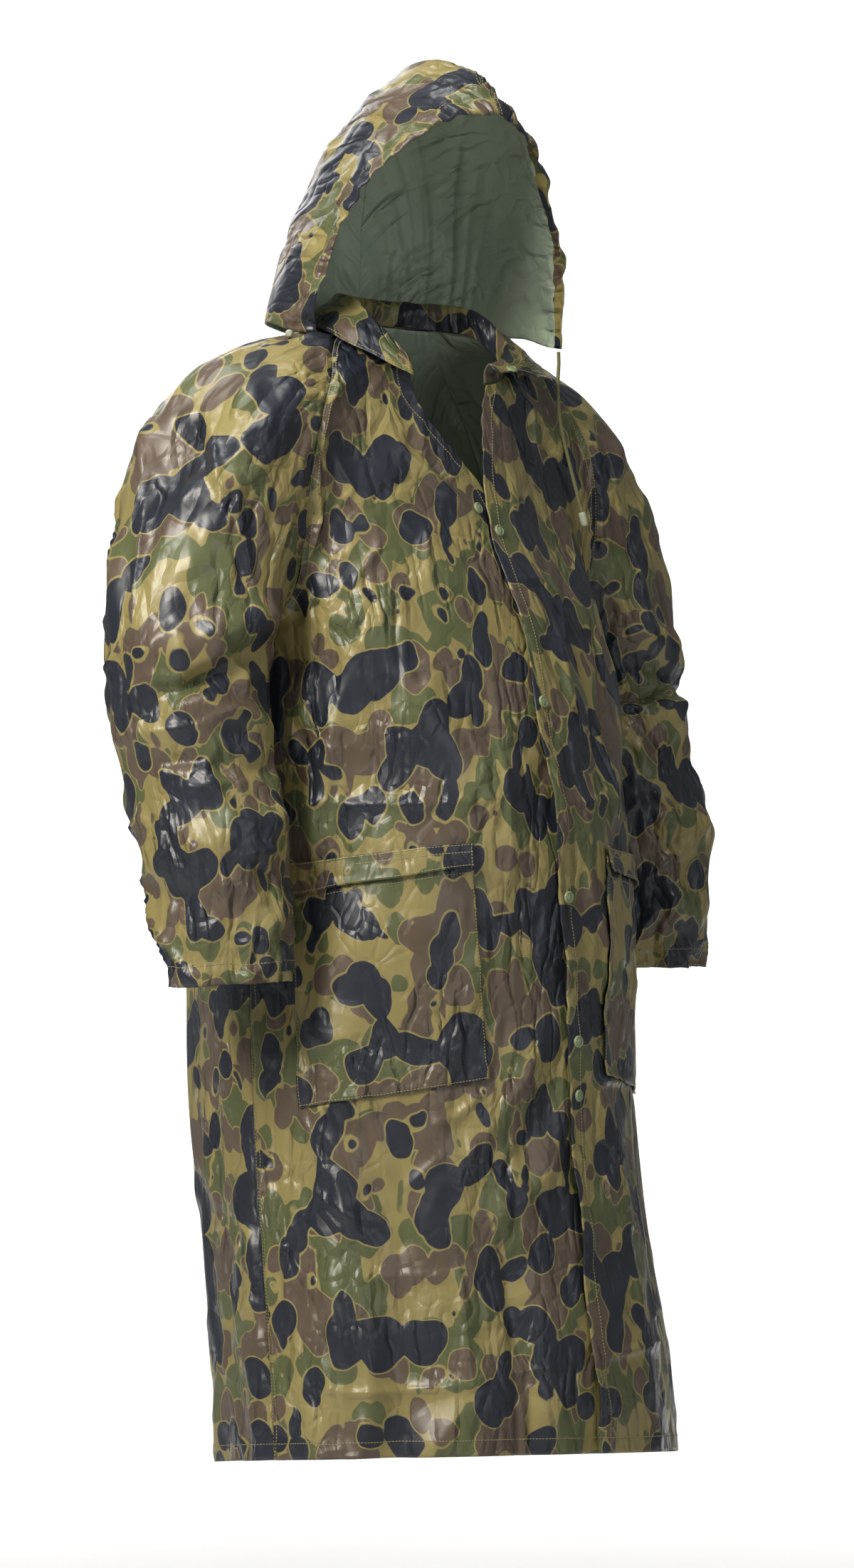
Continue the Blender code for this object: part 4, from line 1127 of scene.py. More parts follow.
# Drawstring
cordValues = {
    "diameter": 0.0042,
    "fineCount": 8,
    "routeRight": (   # from the casing down
        (-0.1600, 0.0050, 0.0335),
        (-0.1600, 0.0160, 0.0328),
        (-0.1622, 0.0265, 0.0318),
        (-0.1670, 0.0318, 0.0313),
        (-0.1725, 0.0305, 0.0310),
        (-0.1765, 0.0278, 0.0310),
        (-0.1800, 0.0245, 0.0305),
    ),
    "routeLeft": (
        (0.1470, -0.0745, 0.0270),
        (0.1485, -0.0735, 0.0140),
        (0.1510, -0.0700, -0.0050),
        (0.1580, -0.0650, -0.0350),
        (0.1680, -0.0625, -0.0650),
        (0.1760, -0.0650, -0.0950),
        (0.1830, -0.0690, -0.1250),
        (0.1890, -0.0720, -0.1500),
    ),
    "lengths": {"Right": 0.0445, "Left": 0.1837},
    "endProfile": ((0.0, 0.0), (0.0030, 0.0), (0.0040, 0.0010), (0.0042, 0.0030), (0.0042, 0.0125),
                      (0.0038, 0.0148),
                      (0.0024, 0.0160), (0.0, 0.0160)),
}
plainLook = {name: plainMaterial(name) for name in ("cord", "cordEnd", "snapCap", "thread")}
for word, length in cordValues["lengths"].items():
    route = cordValues["route" + word]
    line = cordPiece("cord" + word, route, plainLook["cord"])
    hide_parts("cord_" + word.lower())
    way = (Vector(route[-1]) - Vector(route[-2])).normalized()
    foot = Vector(route[-1]) + way * seamGap
    grip = turnedPiece("cordEnd" + word, cordValues["endProfile"], foot, way, plainLook["cordEnd"])
    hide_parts("cord_end_" + word.lower())
print("cords")

# Seams
sides = ((-1, "Right"), (1, "Left"))
seams = {}
for side, word in sides:
    seams[word] = (raglanSeam(frontSeamLine, side, shoulderFront),
                   raglanSeam(backSeamLine, side, shoulderBack))
allSeams = [*seams["Right"], *seams["Left"]]
looks = clothMaterials()
panels = {}

# Fronts
bodyValues = {
    "folds": (   # angle and height at each end, width, depth
        (-70, -1.25, -62, -0.62, 0.040, 0.009),
        (-52, -1.25, -50, -0.86, 0.026, -0.008),
        (-34, -1.25, -40, -0.75, 0.034, 0.008),
        (-20, -1.25, -22, -0.95, 0.018, -0.009),
        (22, -1.25, 16, -0.80, 0.030, 0.009),
        (40, -1.25, 44, -0.78, 0.034, -0.010),
        (62, -1.25, 60, -0.70, 0.040, 0.010),
        (-24, -0.46, -70, -0.20, 0.034, 0.008),
        (-12, -0.64, -58, -0.40, 0.040, -0.007),
        (20, -0.50, 58, -0.28, 0.034, 0.008),
        (112, -1.25, 108, -0.60, 0.040, -0.010),
        (136, -1.25, 140, -0.55, 0.044, 0.010),
        (160, -1.25, 158, -0.70, 0.036, -0.009),
        (186, -1.25, 182, -0.50, 0.040, 0.009),
        (206, -1.25, 208, -0.75, 0.036, -0.009),
        (230, -1.25, 226, -0.60, 0.044, 0.010),
        (252, -1.25, 250, -0.70, 0.036, -0.008),
        (150, -0.46, 118, -0.22, 0.036, 0.008),
        (210, -0.46, 242, -0.22, 0.036, 0.008),
    ),
    "drape": 0.0046,
    "drapeSize": (0.055, 0.26),
    "crumples": ((0.085, 0.0038, 0.35), (0.040, 0.0019, 0.30)),   # size, depth, share of the cloth
    "ridges": (   # size across, size along, depth, share of the cloth
        (0.075, 0.190, 0.0080, 0.35),
        (0.034, 0.080, 0.0036, 0.30),
    ),
    "creases": (   # width, depth, then places along the crease: across and height
        (0.006, 0.0040, -0.188, -0.170, -0.153, -0.172, -0.148, -0.186),
        (0.006, -0.0035, -0.226, -0.202, -0.210, -0.218),
        (0.006, 0.0030, -0.210, -0.212, -0.192, -0.215),
        (0.006, 0.0035, -0.292, -0.257, -0.237, -0.264, -0.215, -0.255),
        (0.006, 0.0035, -0.215, -0.255, -0.159, -0.208, -0.150, -0.179),
        (0.005, 0.0025, -0.221, -0.217, -0.215, -0.255),
        (0.008, 0.0050, -0.223, -0.111, -0.213, -0.171, -0.255, -0.224),
        (0.007, 0.0035, -0.090, -0.175, -0.122, -0.255),
        (0.007, 0.0030, -0.166, -0.272, -0.181, -0.376, -0.196, -0.453),
        (0.004, 0.0030, -0.180, -0.346, -0.140, -0.332),
        (0.004, -0.0025, -0.165, -0.335, -0.160, -0.360),
        (0.012, 0.0060, -0.140, -0.071, -0.087, -0.118, -0.048, -0.146, 0.001, -0.185),
        (0.009, -0.0045, -0.124, -0.071, -0.059, -0.122, -0.020, -0.162),
        (0.006, 0.0030, -0.195, -0.094, -0.165, -0.139, -0.195, -0.169),
        (0.006, 0.0035, -0.304, -0.879, -0.262, -0.908, -0.220, -0.920),
        (0.005, 0.0035, -0.199, -0.885, -0.151, -0.839),
        (0.006, -0.0030, -0.262, -0.938, -0.241, -0.961, -0.231, -0.967),
        (0.010, 0.0040, -0.262, -0.973, -0.147, -0.973),
        (0.005, 0.0045, -0.340, -1.085, -0.262, -1.093, -0.163, -1.086, -0.106, -1.087),
        (0.005, 0.0035, -0.106, -1.076, -0.048, -1.073),
        (0.004, -0.0050, -0.101, -1.088, -0.099, -1.190),
        (0.005, 0.0040, -0.093, -1.082, -0.091, -1.190),
        (0.006, 0.0035, -0.147, -0.944, -0.148, -1.092),
        (0.006, 0.0035, -0.335, -0.915, -0.340, -1.021),
        (0.006, -0.0035, -0.377, -1.098, -0.356, -1.164),
        (0.006, 0.0035, -0.320, -1.161, -0.273, -1.148),
        (0.005, 0.0030, -0.099, -0.864, -0.073, -0.829),
        (0.006, 0.0035, -0.126, -1.013, -0.100, -1.025, -0.106, -1.048),
        (0.006, 0.0040, -0.324, -0.794, -0.288, -0.825, -0.325, -0.873),
        (0.006, 0.0035, -0.345, -0.818, -0.361, -0.915),
        (0.005, 0.0035, -0.099, -0.770, -0.141, -0.804, -0.172, -0.815),
        (0.006, 0.0040, -0.369, -0.482, -0.275, -0.477, -0.167, -0.480, -0.063, -0.471),
        (0.006, 0.0030, -0.292, -0.376, -0.260, -0.423, -0.290, -0.470),
        (0.006, 0.0030, -0.121, -0.376, -0.103, -0.438, -0.136, -0.495),
        (0.007, 0.0035, -0.075, -0.375, -0.078, -0.470, -0.087, -0.611),
        (0.006, 0.0030, -0.098, -0.634, -0.072, -0.706, -0.088, -0.770),
        (0.006, 0.0040, 0.076, -0.241, 0.072, -0.273, 0.046, -0.314),
        (0.006, -0.0040, 0.099, -0.232, 0.088, -0.271, 0.058, -0.322),
        (0.006, 0.0030, 0.005, -0.237, 0.048, -0.235, 0.067, -0.248, 0.091, -0.244),
        (0.008, 0.0040, 0.050, -0.276, 0.044, -0.345, 0.057, -0.402),
        (0.007, -0.0035, 0.076, -0.298, 0.091, -0.369, 0.074, -0.442),
        (0.007, 0.0040, 0.145, -0.259, 0.144, -0.321, 0.111, -0.408),
        (0.006, 0.0035, 0.092, -0.063, 0.092, -0.095, 0.122, -0.107),
        (0.006, 0.0035, 0.145, -0.077, 0.179, -0.101, 0.212, -0.144),
        (0.006, -0.0030, 0.135, -0.062, 0.169, -0.109, 0.195, -0.156),
        (0.006, 0.0035, 0.167, -0.029, 0.134, -0.069, 0.102, -0.108),
        (0.006, 0.0035, 0.071, -0.944, 0.077, -1.052),
        (0.006, 0.0030, 0.101, -1.041, 0.180, -1.028),
        (0.006, 0.0035, -0.007, -1.069, 0.165, -1.064),
        (0.006, 0.0030, 0.057, -0.926, 0.091, -0.939, 0.126, -0.916),
        (0.006, 0.0030, 0.002, -0.478, 0.115, -0.474),
        (0.007, 0.0035, 0.091, -0.375, 0.104, -0.457, 0.083, -0.518),
        (0.006, 0.0035, 0.030, -0.563, 0.057, -0.626, 0.049, -0.691),
        (0.006, 0.0035, 0.031, -0.774, 0.135, -0.784),
        (0.006, 0.0030, 0.017, -0.815, 0.066, -0.862, 0.121, -0.838),
    ),
}
frontValues = {
    "size": (14, 36),
    "times": 9,   # how many times finer than the CAD's grid each panel is
    "seed": 3,
    "offsets": {"Right": (0.2, 1.5), "Left": (2.3, 1.9)},   # places of the cut cloth on the print
    "edgeRight": (   # height, side of the middle
        (-1.250, 0.034),
        (-0.190, 0.034),
        (-0.150, 0.012),
        (-0.125, -0.006),
        (-0.082, -0.052),
        (-0.052, -0.080),
        (-0.020, -0.086),
    ),
    "edgeLeft": (
        (-1.250, -0.008),
        (-0.800, -0.008),
        (-0.400, -0.020),
        (-0.200, -0.010),
        (-0.125, 0.000),
        (-0.053, 0.012),
        (-0.020, 0.030),
    ),
    "gapes": (   # the closure stands off between its snaps: height, half length, depth
        (-0.275, 0.070, 0.005),
        (-0.472, 0.085, 0.009),
        (-0.655, 0.060, 0.007),
        (-0.920, 0.090, 0.006),
        (-1.100, 0.070, 0.004),
    ),
    "gapeReach": 0.024,
    "kinds": {"first": "hem", "last": "fell", "start": "hem", "end": "seam"},
    "sheet": {"flat": (0.45, 1.24), "held": "draped", "area": 0.45},
}
frontPlaces = {}
for side, word in sides:
    name = "front" + word
    grid = frontGrid(side, seams[word][0], frontValues["edge" + word])
    panels[name], frontPlaces[word] = bodyPanel(*grid, frontValues, lap=side > 0)
    panelPiece(name, panels[name], frontPlaces[word], looks, frontValues["offsets"][word],
               frontValues["sheet"], "front_" + word.lower())
print("fronts")

# Back
backValues = {
    "size": (23, 36),
    "times": 7,
    "seed": 9,
    "offset": (4.1, 0.7),
    "kinds": {"first": "seam", "last": "seam", "start": "hem", "end": "seam"},
    "sheet": {"flat": (0.80, 1.30), "held": "draped", "area": 0.84},
}
backRows = backGrid(seams["Right"][1], seams["Left"][1])
panels["back"], places = bodyPanel(*backRows, backValues)
panelPiece("backPanel", panels["back"], places, looks, backValues["offset"], backValues["sheet"], "back")
print("back")

# Sleeves
sleeveValues = {
    "neckColumns": 6,   # points of a sleeve's top along the neckline
    "rows": 25,
    "times": 7,
    "seed": 20,
    "offset": (6.0, 3.3),
    "folds": (   # angle and share at each end, width, depth
        (60, 0.20, 36, 0.50, 0.026, 0.008),
        (20, 0.16, 6, 0.46, 0.026, -0.008),
        (-20, 0.20, -26, 0.50, 0.030, 0.008),
        (128, 0.46, 20, 0.56, 0.022, 0.011),
        (120, 0.52, 10, 0.62, 0.018, -0.009),
        (126, 0.66, 30, 0.60, 0.022, 0.011),
        (120, 0.72, 10, 0.68, 0.018, -0.008),
        (130, 0.78, 40, 0.80, 0.022, 0.009),
        (-40, 0.58, -140, 0.64, 0.024, 0.009),
        (-50, 0.70, -150, 0.76, 0.024, 0.008),
        (60, 0.88, -40, 0.84, 0.024, -0.007),
        (150, 0.86, 80, 0.92, 0.022, 0.006),
    ),
    "drape": 0.0040,
    "drapeSize": (0.040, 0.18),
    "crumples": ((0.070, 0.0044, 0.45), (0.035, 0.0024, 0.40)),
    "ridges": (
        (0.060, 0.120, 0.0100, 0.45),
        (0.030, 0.055, 0.0048, 0.40),
    ),
    "creasesRight": (
        (0.010, 0.0065, 0.063, 0.416, 0.103, 0.458, 0.136, 0.483, 0.143, 0.530),
        (0.007, 0.0050, 0.010, 0.489, 0.056, 0.495, 0.081, 0.475, 0.107, 0.461),
        (0.006, -0.0050, 0.017, 0.503, 0.063, 0.511, 0.107, 0.483),
        (0.007, 0.0050, 0.071, 0.557, 0.136, 0.530),
        (0.008, 0.0050, -0.055, 0.548, 0.039, 0.553, 0.078, 0.555, 0.096, 0.583),
        (0.005, 0.0050, 0.067, 0.580, 0.092, 0.587, 0.074, 0.608, 0.089, 0.627, 0.125, 0.632),
        (0.005, -0.0045, 0.092, 0.599, 0.111, 0.631),
        (0.007, 0.0050, 0.009, 0.596, 0.074, 0.608),
        (0.008, 0.0055, 0.032, 0.621, 0.078, 0.628, 0.100, 0.668, 0.143, 0.679),
        (0.005, 0.0045, 0.028, 0.661, 0.060, 0.706),
        (0.006, 0.0045, -0.071, 0.643, -0.025, 0.637, -0.013, 0.652),
        (0.006, 0.0040, 0.010, 0.673, 0.021, 0.716),
        (0.007, 0.0060, 0.078, 0.717, 0.100, 0.704, 0.143, 0.701, 0.169, 0.712),
        (0.007, -0.0055, 0.107, 0.712, 0.147, 0.730, 0.132, 0.754),
        (0.006, 0.0045, 0.032, 0.746, 0.075, 0.729, 0.125, 0.752, 0.125, 0.782),
        (0.007, 0.0060, -0.070, 0.712, -0.037, 0.763, 0.032, 0.860),
        (0.008, 0.0050, -0.071, 0.655, -0.066, 0.704, -0.020, 0.860),
        (0.006, 0.0040, 0.067, 0.847, 0.100, 0.847, 0.140, 0.813),
        (0.010, 0.0070, -0.057, 0.493, 0.005, 0.442),
        (0.007, -0.0060, -0.072, 0.465, -0.057, 0.493),
        (0.006, -0.0060, -0.090, 0.550, -0.067, 0.586),
        (0.011, 0.0075, -0.044, 0.183, -0.026, 0.260, -0.007, 0.350, 0.008, 0.449),
        (0.010, -0.0060, 0.000, 0.217, 0.033, 0.259, 0.065, 0.319),
        (0.008, 0.0055, 0.021, 0.210, 0.050, 0.269, 0.085, 0.351, 0.107, 0.398),
        (0.007, 0.0050, 0.068, 0.265, 0.084, 0.315, 0.114, 0.375, 0.136, 0.404),
        (0.006, 0.0040, 0.050, 0.290, 0.076, 0.248),
        (0.007, 0.0050, 0.010, 0.482, 0.035, 0.454, 0.074, 0.441),
        (0.006, 0.0040, 0.035, 0.454, 0.035, 0.511),
        (0.010, -0.0070, 0.077, 0.340, 0.107, 0.378, 0.125, 0.400),
        (0.006, 0.0040, -0.070, 0.244, -0.063, 0.322, -0.034, 0.408),
    ),
    "creasesLeft": (
        (0.006, 0.0040, 0.192, 0.394, 0.166, 0.385, 0.199, 0.420),
        (0.006, 0.0050, 0.206, 0.520, 0.172, 0.538, 0.110, 0.534),
        (0.006, -0.0050, 0.206, 0.509, 0.168, 0.525, 0.107, 0.520),
        (0.007, 0.0045, 0.241, 0.657, 0.220, 0.697, 0.213, 0.728),
        (0.006, 0.0040, 0.230, 0.670, 0.201, 0.647, 0.180, 0.658),
        (0.006, 0.0040, 0.209, 0.740, 0.169, 0.717, 0.129, 0.701),
        (0.006, -0.0035, 0.213, 0.723, 0.172, 0.703, 0.136, 0.686),
        (0.006, 0.0040, 0.184, 0.768, 0.132, 0.742),
        (0.006, 0.0035, 0.226, 0.604, 0.172, 0.548),
        (0.006, 0.0035, 0.235, 0.779, 0.184, 0.773),
        (0.006, 0.0035, 0.125, 0.304, 0.146, 0.375, 0.146, 0.435),
        (0.006, 0.0035, 0.177, 0.429, 0.147, 0.498),
        (0.006, 0.0030, 0.154, 0.585, 0.187, 0.626, 0.161, 0.662),
        (0.006, 0.0035, 0.102, 0.175, 0.121, 0.224, 0.139, 0.275),
        (0.006, -0.0035, 0.121, 0.205, 0.128, 0.261),
        (0.006, 0.0030, 0.109, 0.142, 0.128, 0.197),
    ),
    "kinds": {"first": "seam", "last": "seam", "start": "seam", "end": "hem"},
    "sheet": {"flat": (0.62, 0.82), "held": "draped", "area": 0.34},
}
for side, word in sides:
    name = "sleeve" + word
    panels[name], places = sleevePanel(side, *seams[word], sleeveValues["creases" + word])
    offset = (sleeveValues["offset"][0] + side, sleeveValues["offset"][1])
    panelPiece(name, panels[name], places, looks, offset, sleeveValues["sheet"],
               "sleeve_" + word.lower())
print("sleeves")

# Hood
hoodValues = {
    "turn": math.radians(-14),
    "lean": 0.35,   # share of the way to the crown that the side leans by
    "sections": (   # edge x, y, z, crown y, z, rise and spread right, then left
        (0.160, -0.036, 0.030, -0.160, 0.266, 0.180, 0.080, 0.150, 0.030),
        (0.168, 0.000, 0.036, -0.098, 0.314, 0.120, 0.066, 0.130, 0.034),
        (0.168, 0.044, 0.048, -0.016, 0.335, 0.080, 0.060, 0.110, 0.040),
        (0.146, 0.088, 0.050, 0.060, 0.300, 0.085, 0.074, 0.100, 0.058),
        (0.108, 0.114, 0.046, 0.102, 0.226, 0.080, 0.070, 0.080, 0.066),
        (0.056, 0.128, 0.040, 0.124, 0.140, 0.050, 0.046, 0.050, 0.046),
        (0.012, 0.132, 0.038, 0.130, 0.060, 0.010, 0.010, 0.010, 0.010),
    ),
    "fine": (121, 111),
    "middle": (0.0, 0.03, 0.16),   # a point inside the hood
    "seeds": {"gathers": 41, "drape": 43, "crumples": 47, "ridges": 49},
    "offset": (9.0, 1.0), "offsetStep": 0.9,
    "endFade": 0.02,
    "casingWidth": 0.022,
    "casingRise": 0.0030,
    "gatherSize": (0.011, 0.050),
    "gatherDepth": 0.0034,
    "gatherReach": 0.030,
    "drape": 0.0030,
    "drapeSize": (0.070, 0.090),
    "crumples": ((0.070, 0.0036, 0.35), (0.035, 0.0018, 0.3)),
    "ridges": (
        (0.110, 0.060, 0.0045, 0.35),
        (0.045, 0.030, 0.0020, 0.25),
    ),
    "creases": (   # width, depth, then places: along the right to the left edge, and away from the rim
        (0.006, 0.0035, 0.286, 0.106, 0.332, 0.114, 0.364, 0.117),
        (0.006, -0.0035, 0.278, 0.089, 0.313, 0.085, 0.352, 0.079),
        (0.005, 0.0040, 0.344, 0.069, 0.366, 0.055, 0.390, 0.055),
        (0.005, 0.0035, 0.285, 0.059, 0.328, 0.049, 0.362, 0.020),
        (0.006, 0.0035, 0.241, 0.078, 0.230, 0.059, 0.210, 0.042),
        (0.006, -0.0035, 0.245, 0.057, 0.221, 0.039, 0.202, 0.030),
        (0.006, 0.0030, 0.141, 0.051, 0.115, 0.058, 0.081, 0.067),
        (0.006, 0.0035, 0.136, 0.050, 0.159, 0.040, 0.181, 0.039),
        (0.004, 0.0030, 0.000, 0.036, 0.022, 0.060),
        (0.004, 0.0030, 0.000, 0.036, 0.028, 0.046),
        (0.004, 0.0030, 0.000, 0.033, 0.041, 0.030),
        (0.006, 0.0030, 0.216, 0.069, 0.194, 0.029, 0.152, 0.003),
        (0.006, -0.0030, 0.123, 0.015, 0.081, 0.014, 0.039, 0.008),
        (0.006, 0.0030, 0.271, 0.065, 0.286, 0.028, 0.337, 0.030),
        (0.005, 0.0030, 0.231, 0.028, 0.262, 0.022, 0.312, 0.019),
        (0.006, 0.0035, 0.371, 0.140, 0.373, 0.090, 0.379, 0.045),
        (0.006, -0.0030, 0.674, 0.122, 0.767, 0.047),
        (0.006, 0.0030, 0.614, 0.135, 0.677, 0.073),
        (0.008, 0.0030, 0.571, 0.146, 0.622, 0.082),
        (0.008, -0.0030, 0.697, 0.122, 0.769, 0.068),
    ),
    "sheet": {"flat": (0.34, 0.44), "held": "draped", "area": 0.098},
}
seeds, width = hoodValues["seeds"], hoodValues["casingWidth"]
whole = hoodPoints(*hoodValues["fine"])
out = outwards(whole, whole - np.array(hoodValues["middle"]))
edges = edgeDistances(whole)
rim, s = edges["start"], edges["first"]
relief = hoodValues["casingRise"] * np.sqrt(np.clip(1 - (2 * rim / width - 1)**2, 0, 1))
gathers = softNoise(s, rim, hoodValues["gatherSize"], seeds["gathers"])
gathers = gathers * np.exp(-np.clip(rim - width / 2, 0, None) / hoodValues["gatherReach"])
drape = softNoise(s, rim, hoodValues["drapeSize"], seeds["drape"])
relief = relief + hoodValues["gatherDepth"] * gathers + hoodValues["drape"] * drape
for row in hoodValues["crumples"]:
    relief = relief + crumple(s, rim, seeds["crumples"], *row)
for row in hoodValues["ridges"]:
    relief = relief + ridges(s, rim, seeds["ridges"], *row)
relief = relief + sharpCreases(hoodValues["creases"], s, rim)
relief = relief * softStep(edges["end"] / hoodValues["endFade"])
plain, plainOut = whole, out
whole = whole + out * relief[..., None]
out = outwards(whole, out)
up = hoodValues["fine"][1]
hoodAxis = np.array(Matrix.Rotation(hoodValues["turn"], 3, "Z") @ Vector((0.0, -1.0, 0.0)))
for word, cut in (("Right", slice(0, up)), ("Left", slice(up - 1, None))):
    name = "hood" + word
    panels[name] = (whole[:, cut], out[:, cut])
    places = developed(plain[:, cut], plainOut[:, cut], hoodAxis)
    offset = (hoodValues["offset"][0], hoodValues["offset"][1] + hoodValues["offsetStep"] * cut.start)
    panelPiece(name, panels[name], places, looks, offset, hoodValues["sheet"],
               "hood_" + word.lower(), turned=rim[:, cut] < width)
print("hood")

# Collar
collarValues = {
    "rows": (   # angle, stand, crest, edge angle, reach and z
        (12, 0.018, 0.006, 54, 0.160, -0.010),
        (60, 0.022, 0.006, 76, 0.150, 0.026),
        (100, 0.024, 0.006, 102, 0.140, 0.044),
        (140, 0.024, 0.006, 140, 0.118, 0.040),
        (180, 0.024, 0.006, 180, 0.104, 0.036),
        (220, 0.024, 0.006, 220, 0.118, 0.040),
        (260, 0.024, 0.006, 258, 0.140, 0.044),
        (300, 0.018, 0.006, 290, 0.146, 0.014),
        (324, 0.010, 0.006, 314, 0.142, -0.016),
    ),
    "foot": 0.0012,
    "inset": 0.0005,
    "crest": 0.005,
    "bow": 0.004,
    "clear": 0.0055,
    "fine": (175, 49),
    "drape": 0.0012,
    "drapeSize": (0.030, 0.030),
    "seeds": {"drape": 61, "crumple": 63},
    "crumple": (0.040, 0.0014, 0.4),
    "footFade": 0.02,
    "ringRadius": 0.12,   # the collar is cut as part of a ring this large inside
    "offset": (11.0, 4.0),
    "sheet": {"flat": (0.64, 0.09), "held": "folded", "area": 0.048},
}
fold = collarPoints(*collarValues["fine"])
out = outwards(fold, wayOut(fold))
edges = edgeDistances(fold)
s, t = edges["first"], edges["start"]
seeds = collarValues["seeds"]
relief = collarValues["drape"] * softNoise(s, t, collarValues["drapeSize"], seeds["drape"])
relief = relief + crumple(s, t, seeds["crumple"], *collarValues["crumple"])
relief = relief * softStep(t / collarValues["footFade"])
fold = fold + out * relief[..., None]
panels["collar"] = (fold + out * wallThickness / 2, outwards(fold, out))
panelPiece("foldedCollar", panels["collar"], developedRing(s, t), [looks[0], looks[0]],
           collarValues["offset"], collarValues["sheet"], "collar")
print("collar")

# Pockets
pocketValues = {
    "bagCorners": ((4.4, 11.4), (10.7, 10.4), (5.0, 18.1), (11.1, 16.9)),
    "bagFine": (64, 64),   # columns and rows
    "flapCorners": ((5.0, 17.7), (11.1, 16.5), (5.0, 18.4), (11.1, 17.4)),
    "flapFine": (113, 17),
    "bagRise": 0.0030,
    "bagPuff": 0.0050,
    "pucker": (0.014, 0.0022, 0.016),   # size, depth and reach of the gathers beside the bag's stitching
    "flapRise": 0.0050,
    "flapFreeLift": 0.0040,
    "shifts": {"Right": 0.0, "Left": -2.4},   # the left pocket lies this many columns nearer the closure
    "bagSeed": 71, "flapSeed": 72,
    "offsets": {"Right": (13.0, 2.2), "Left": (12.0, 2.9)},
    "bagSheet": {"flat": (0.22, 0.24), "held": "stretched", "area": 0.050},
    "flapSheet": {"flat": (0.20, 0.032), "held": "stretched", "area": 0.0062},
}
for word, shift in pocketValues["shifts"].items():
    host, offset = (panels["front" + word], frontPlaces[word]), pocketValues["offsets"][word]
    for kind, name, lift in (("bag", "pocket", bagLift), ("flap", "pocketFlap", flapLift)):
        corners, counts, seed = [pocketValues[kind + key] for key in ("Corners", "Fine", "Seed")]
        panel, places = patch(*host, corners, counts, shift, lift, seed)
        panels[name + word] = panel
        node = {"bag": "pocket_", "flap": "pocket_flap_"}[kind] + word.lower()
        panelPiece(name + word, panel, places, looks, offset, pocketValues[kind + "Sheet"], node)
print("pockets")

# Snaps on the cloth, where the frame has them
snapValues = {
    "profile": ((0.0066, 0.0), (0.0066, 0.0012), (0.0061, 0.0020), (0.0050, 0.0024), (0.0046, 0.0018),
                   (0.0040, 0.0018), (0.0034, 0.0023), (0.0, 0.0026)),
    "sink": 0.0002,
}
snapHosts = {f"snap_{number}": "frontLeft" for number in range(1, 6)}
snapHosts.update({"snap_stud": "frontRight", "snap_collar": "collar"})
for node, host in snapHosts.items():
    low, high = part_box(node)
    place, way = nearestOn(panels[host], (low + high) / 2)
    words = node.split("_")
    foot = Vector(place) + Vector(way) * snapValues["sink"]
    name = "snapCap" + words[1].capitalize()
    cap = turnedPiece(name, snapValues["profile"], foot, way, plainLook["snapCap"])
    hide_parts(node)
print("snaps")

# Stitching
stitchValues = {
    "pitch": 0.0036,
    "width": 0.0007,
    "height": 0.0005,
    "lift": 0.0002,
    "part": (0.18, 0.82),   # of each pitch that its thread covers
    "hem": 0.017, "edge": 0.018, "cuff": 0.022, "casing": 0.022, "bagTop": 0.020,   # from the edge
    "seam": (0.002, 0.009), "patch": 0.002, "flap": (0.0015, 0.0095), "crown": 0.003,
    "collar": 0.004, "collarSpan": (0.4, 0.95),
}
thread = plainLook["thread"]
for word in ("Right", "Left"):
    front, sleeve = panels["front" + word], panels["sleeve" + word]
    lines = [inset(front, "first", stitchValues["edge"]), inset(front, "start", stitchValues["hem"])]
    lines += [inset(front, "last", away) for away in stitchValues["seam"]]
    stitches("stitchesFront" + word, lines, thread)
    stitches("stitchesSleeve" + word, [inset(sleeve, "end", stitchValues["cuff"])], thread)
    bag, flap, hood = panels["pocket" + word], panels["pocketFlap" + word], panels["hood" + word]
    lines = [inset(bag, side, stitchValues["patch"]) for side in ("first", "last", "start")]
    lines += [inset(bag, "end", stitchValues["bagTop"])]
    lines += [inset(flap, "end", away) for away in stitchValues["flap"]]
    lines += [inset(flap, side, stitchValues["patch"]) for side in ("first", "last", "start")]
    stitches("stitchesPocket" + word, lines, thread)
    crown = "last" if word == "Right" else "first"
    lines = [inset(hood, "start", stitchValues["casing"]), inset(hood, crown, stitchValues["crown"])]
    stitches("stitchesHood" + word, lines, thread)
collar = panels["collar"]
lines = [inset(collar, "end", stitchValues["collar"])]
lines += [inset(collar, side, stitchValues["collar"], stitchValues["collarSpan"])
          for side in ("first", "last")]
stitches("stitchesCollar", lines, thread)
stitches("stitchesBack", [inset(panels["back"], "start", stitchValues["hem"])], thread)
print("stitching")

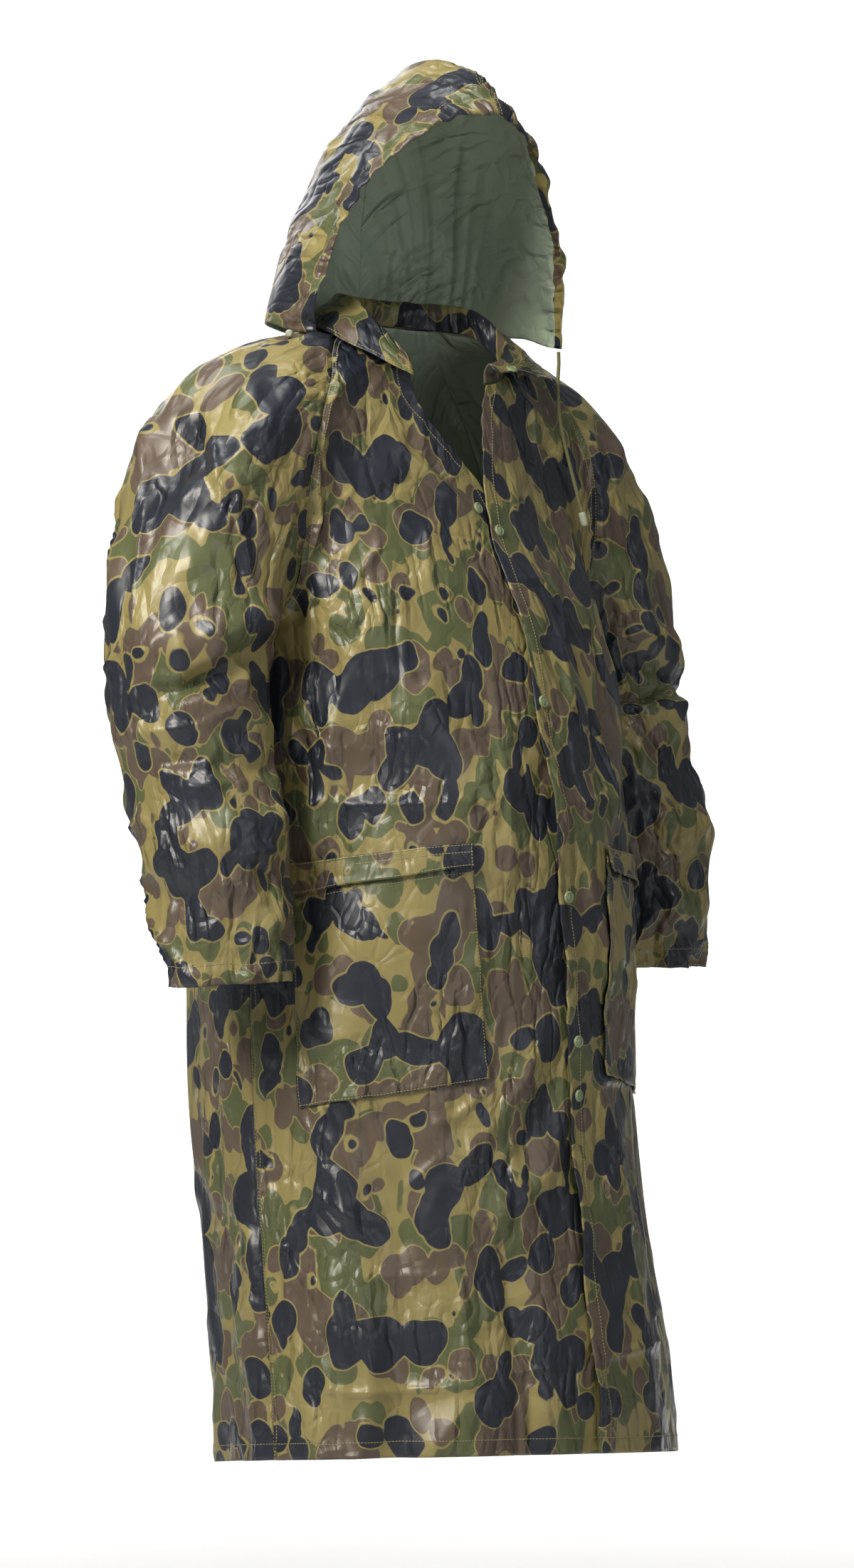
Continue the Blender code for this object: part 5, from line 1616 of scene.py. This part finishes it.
# Floor and backdrop in one sweep, and soft light
stageValues = {
    "sweep": (   # towards the camera, height, width; the narrow wall hides the coat from few sides
        (6.5, -1.9, 14.0), (0.0, -1.9, 14.0), (-5.3, -1.9, 14.0), (-5.5, -1.9, 3.6), (-6.1, -1.8, 3.6),
        (-6.6, -1.5, 3.6), (-6.9, -1.0, 3.6), (-7.0, 0.0, 3.6), (-7.0, 3.0, 3.6),
    ),
    "worldStrength": 0.18,
    "lights": (   # name, place and aim by the camera's axis, size, watts, colour
        ("key", (-1.7, 2.6, 1.5), (0.0, 0.0, -0.4), (1.0, 1.6), 145.0, (1.0, 0.950, 0.860)),
        ("fill", (2.2, 2.6, 0.2), (0.0, 0.0, -0.4), (1.2, 2.0), 12.0, (1.0, 1.0, 1.0)),
        ("top", (-0.4, 0.5, 2.2), (0.0, 0.0, -0.4), (1.8, 1.0), 40.0, (1.0, 0.980, 0.940)),
        ("rear", (-1.4, -3.4, 1.6), (0.0, 0.0, -0.4), (1.6, 1.6), 26.0, (1.0, 1.0, 1.0)),
        ("backdropLeft", (-3.2, -4.2, 0.2), (-0.9, -7.0, -0.6), (1.6, 3.2), 210.0, (1.0, 1.0, 1.0)),
        ("backdropRight", (3.2, -4.2, 0.2), (0.9, -7.0, -0.6), (1.6, 3.2), 210.0, (1.0, 1.0, 1.0)),
    ),
}
form = bmesh.new()
bmesh.ops.create_grid(form, x_segments=1, y_segments=len(stageValues["sweep"]) - 1, size=1.0)
form.verts.ensure_lookup_table()
for index, vert in enumerate(form.verts):
    row, column = divmod(index, 2)
    back, height, width = stageValues["sweep"][row]
    vert.co = pointAt((column - 0.5) * width, back, height)
sweepMesh = bpy.data.meshes.new("floor")
form.to_mesh(sweepMesh)
form.free()
sweepMesh.shade_smooth()
sweepMesh.materials.append(plainMaterial("floor"))
floor = bpy.data.objects.new("floor", sweepMesh)
scene.collection.objects.link(floor)
for name, place, aim, size, power, colour in stageValues["lights"]:
    areaLight(name, pointAt(*place), pointAt(*aim), size, power, colour)
world = bpy.data.worlds.new("world")
world.use_nodes = True
background = world.node_tree.nodes["Background"]
background.inputs["Color"].default_value = (1.0, 1.0, 1.0, 1.0)
background.inputs["Strength"].default_value = stageValues["worldStrength"]
scene.world = world
print("light")
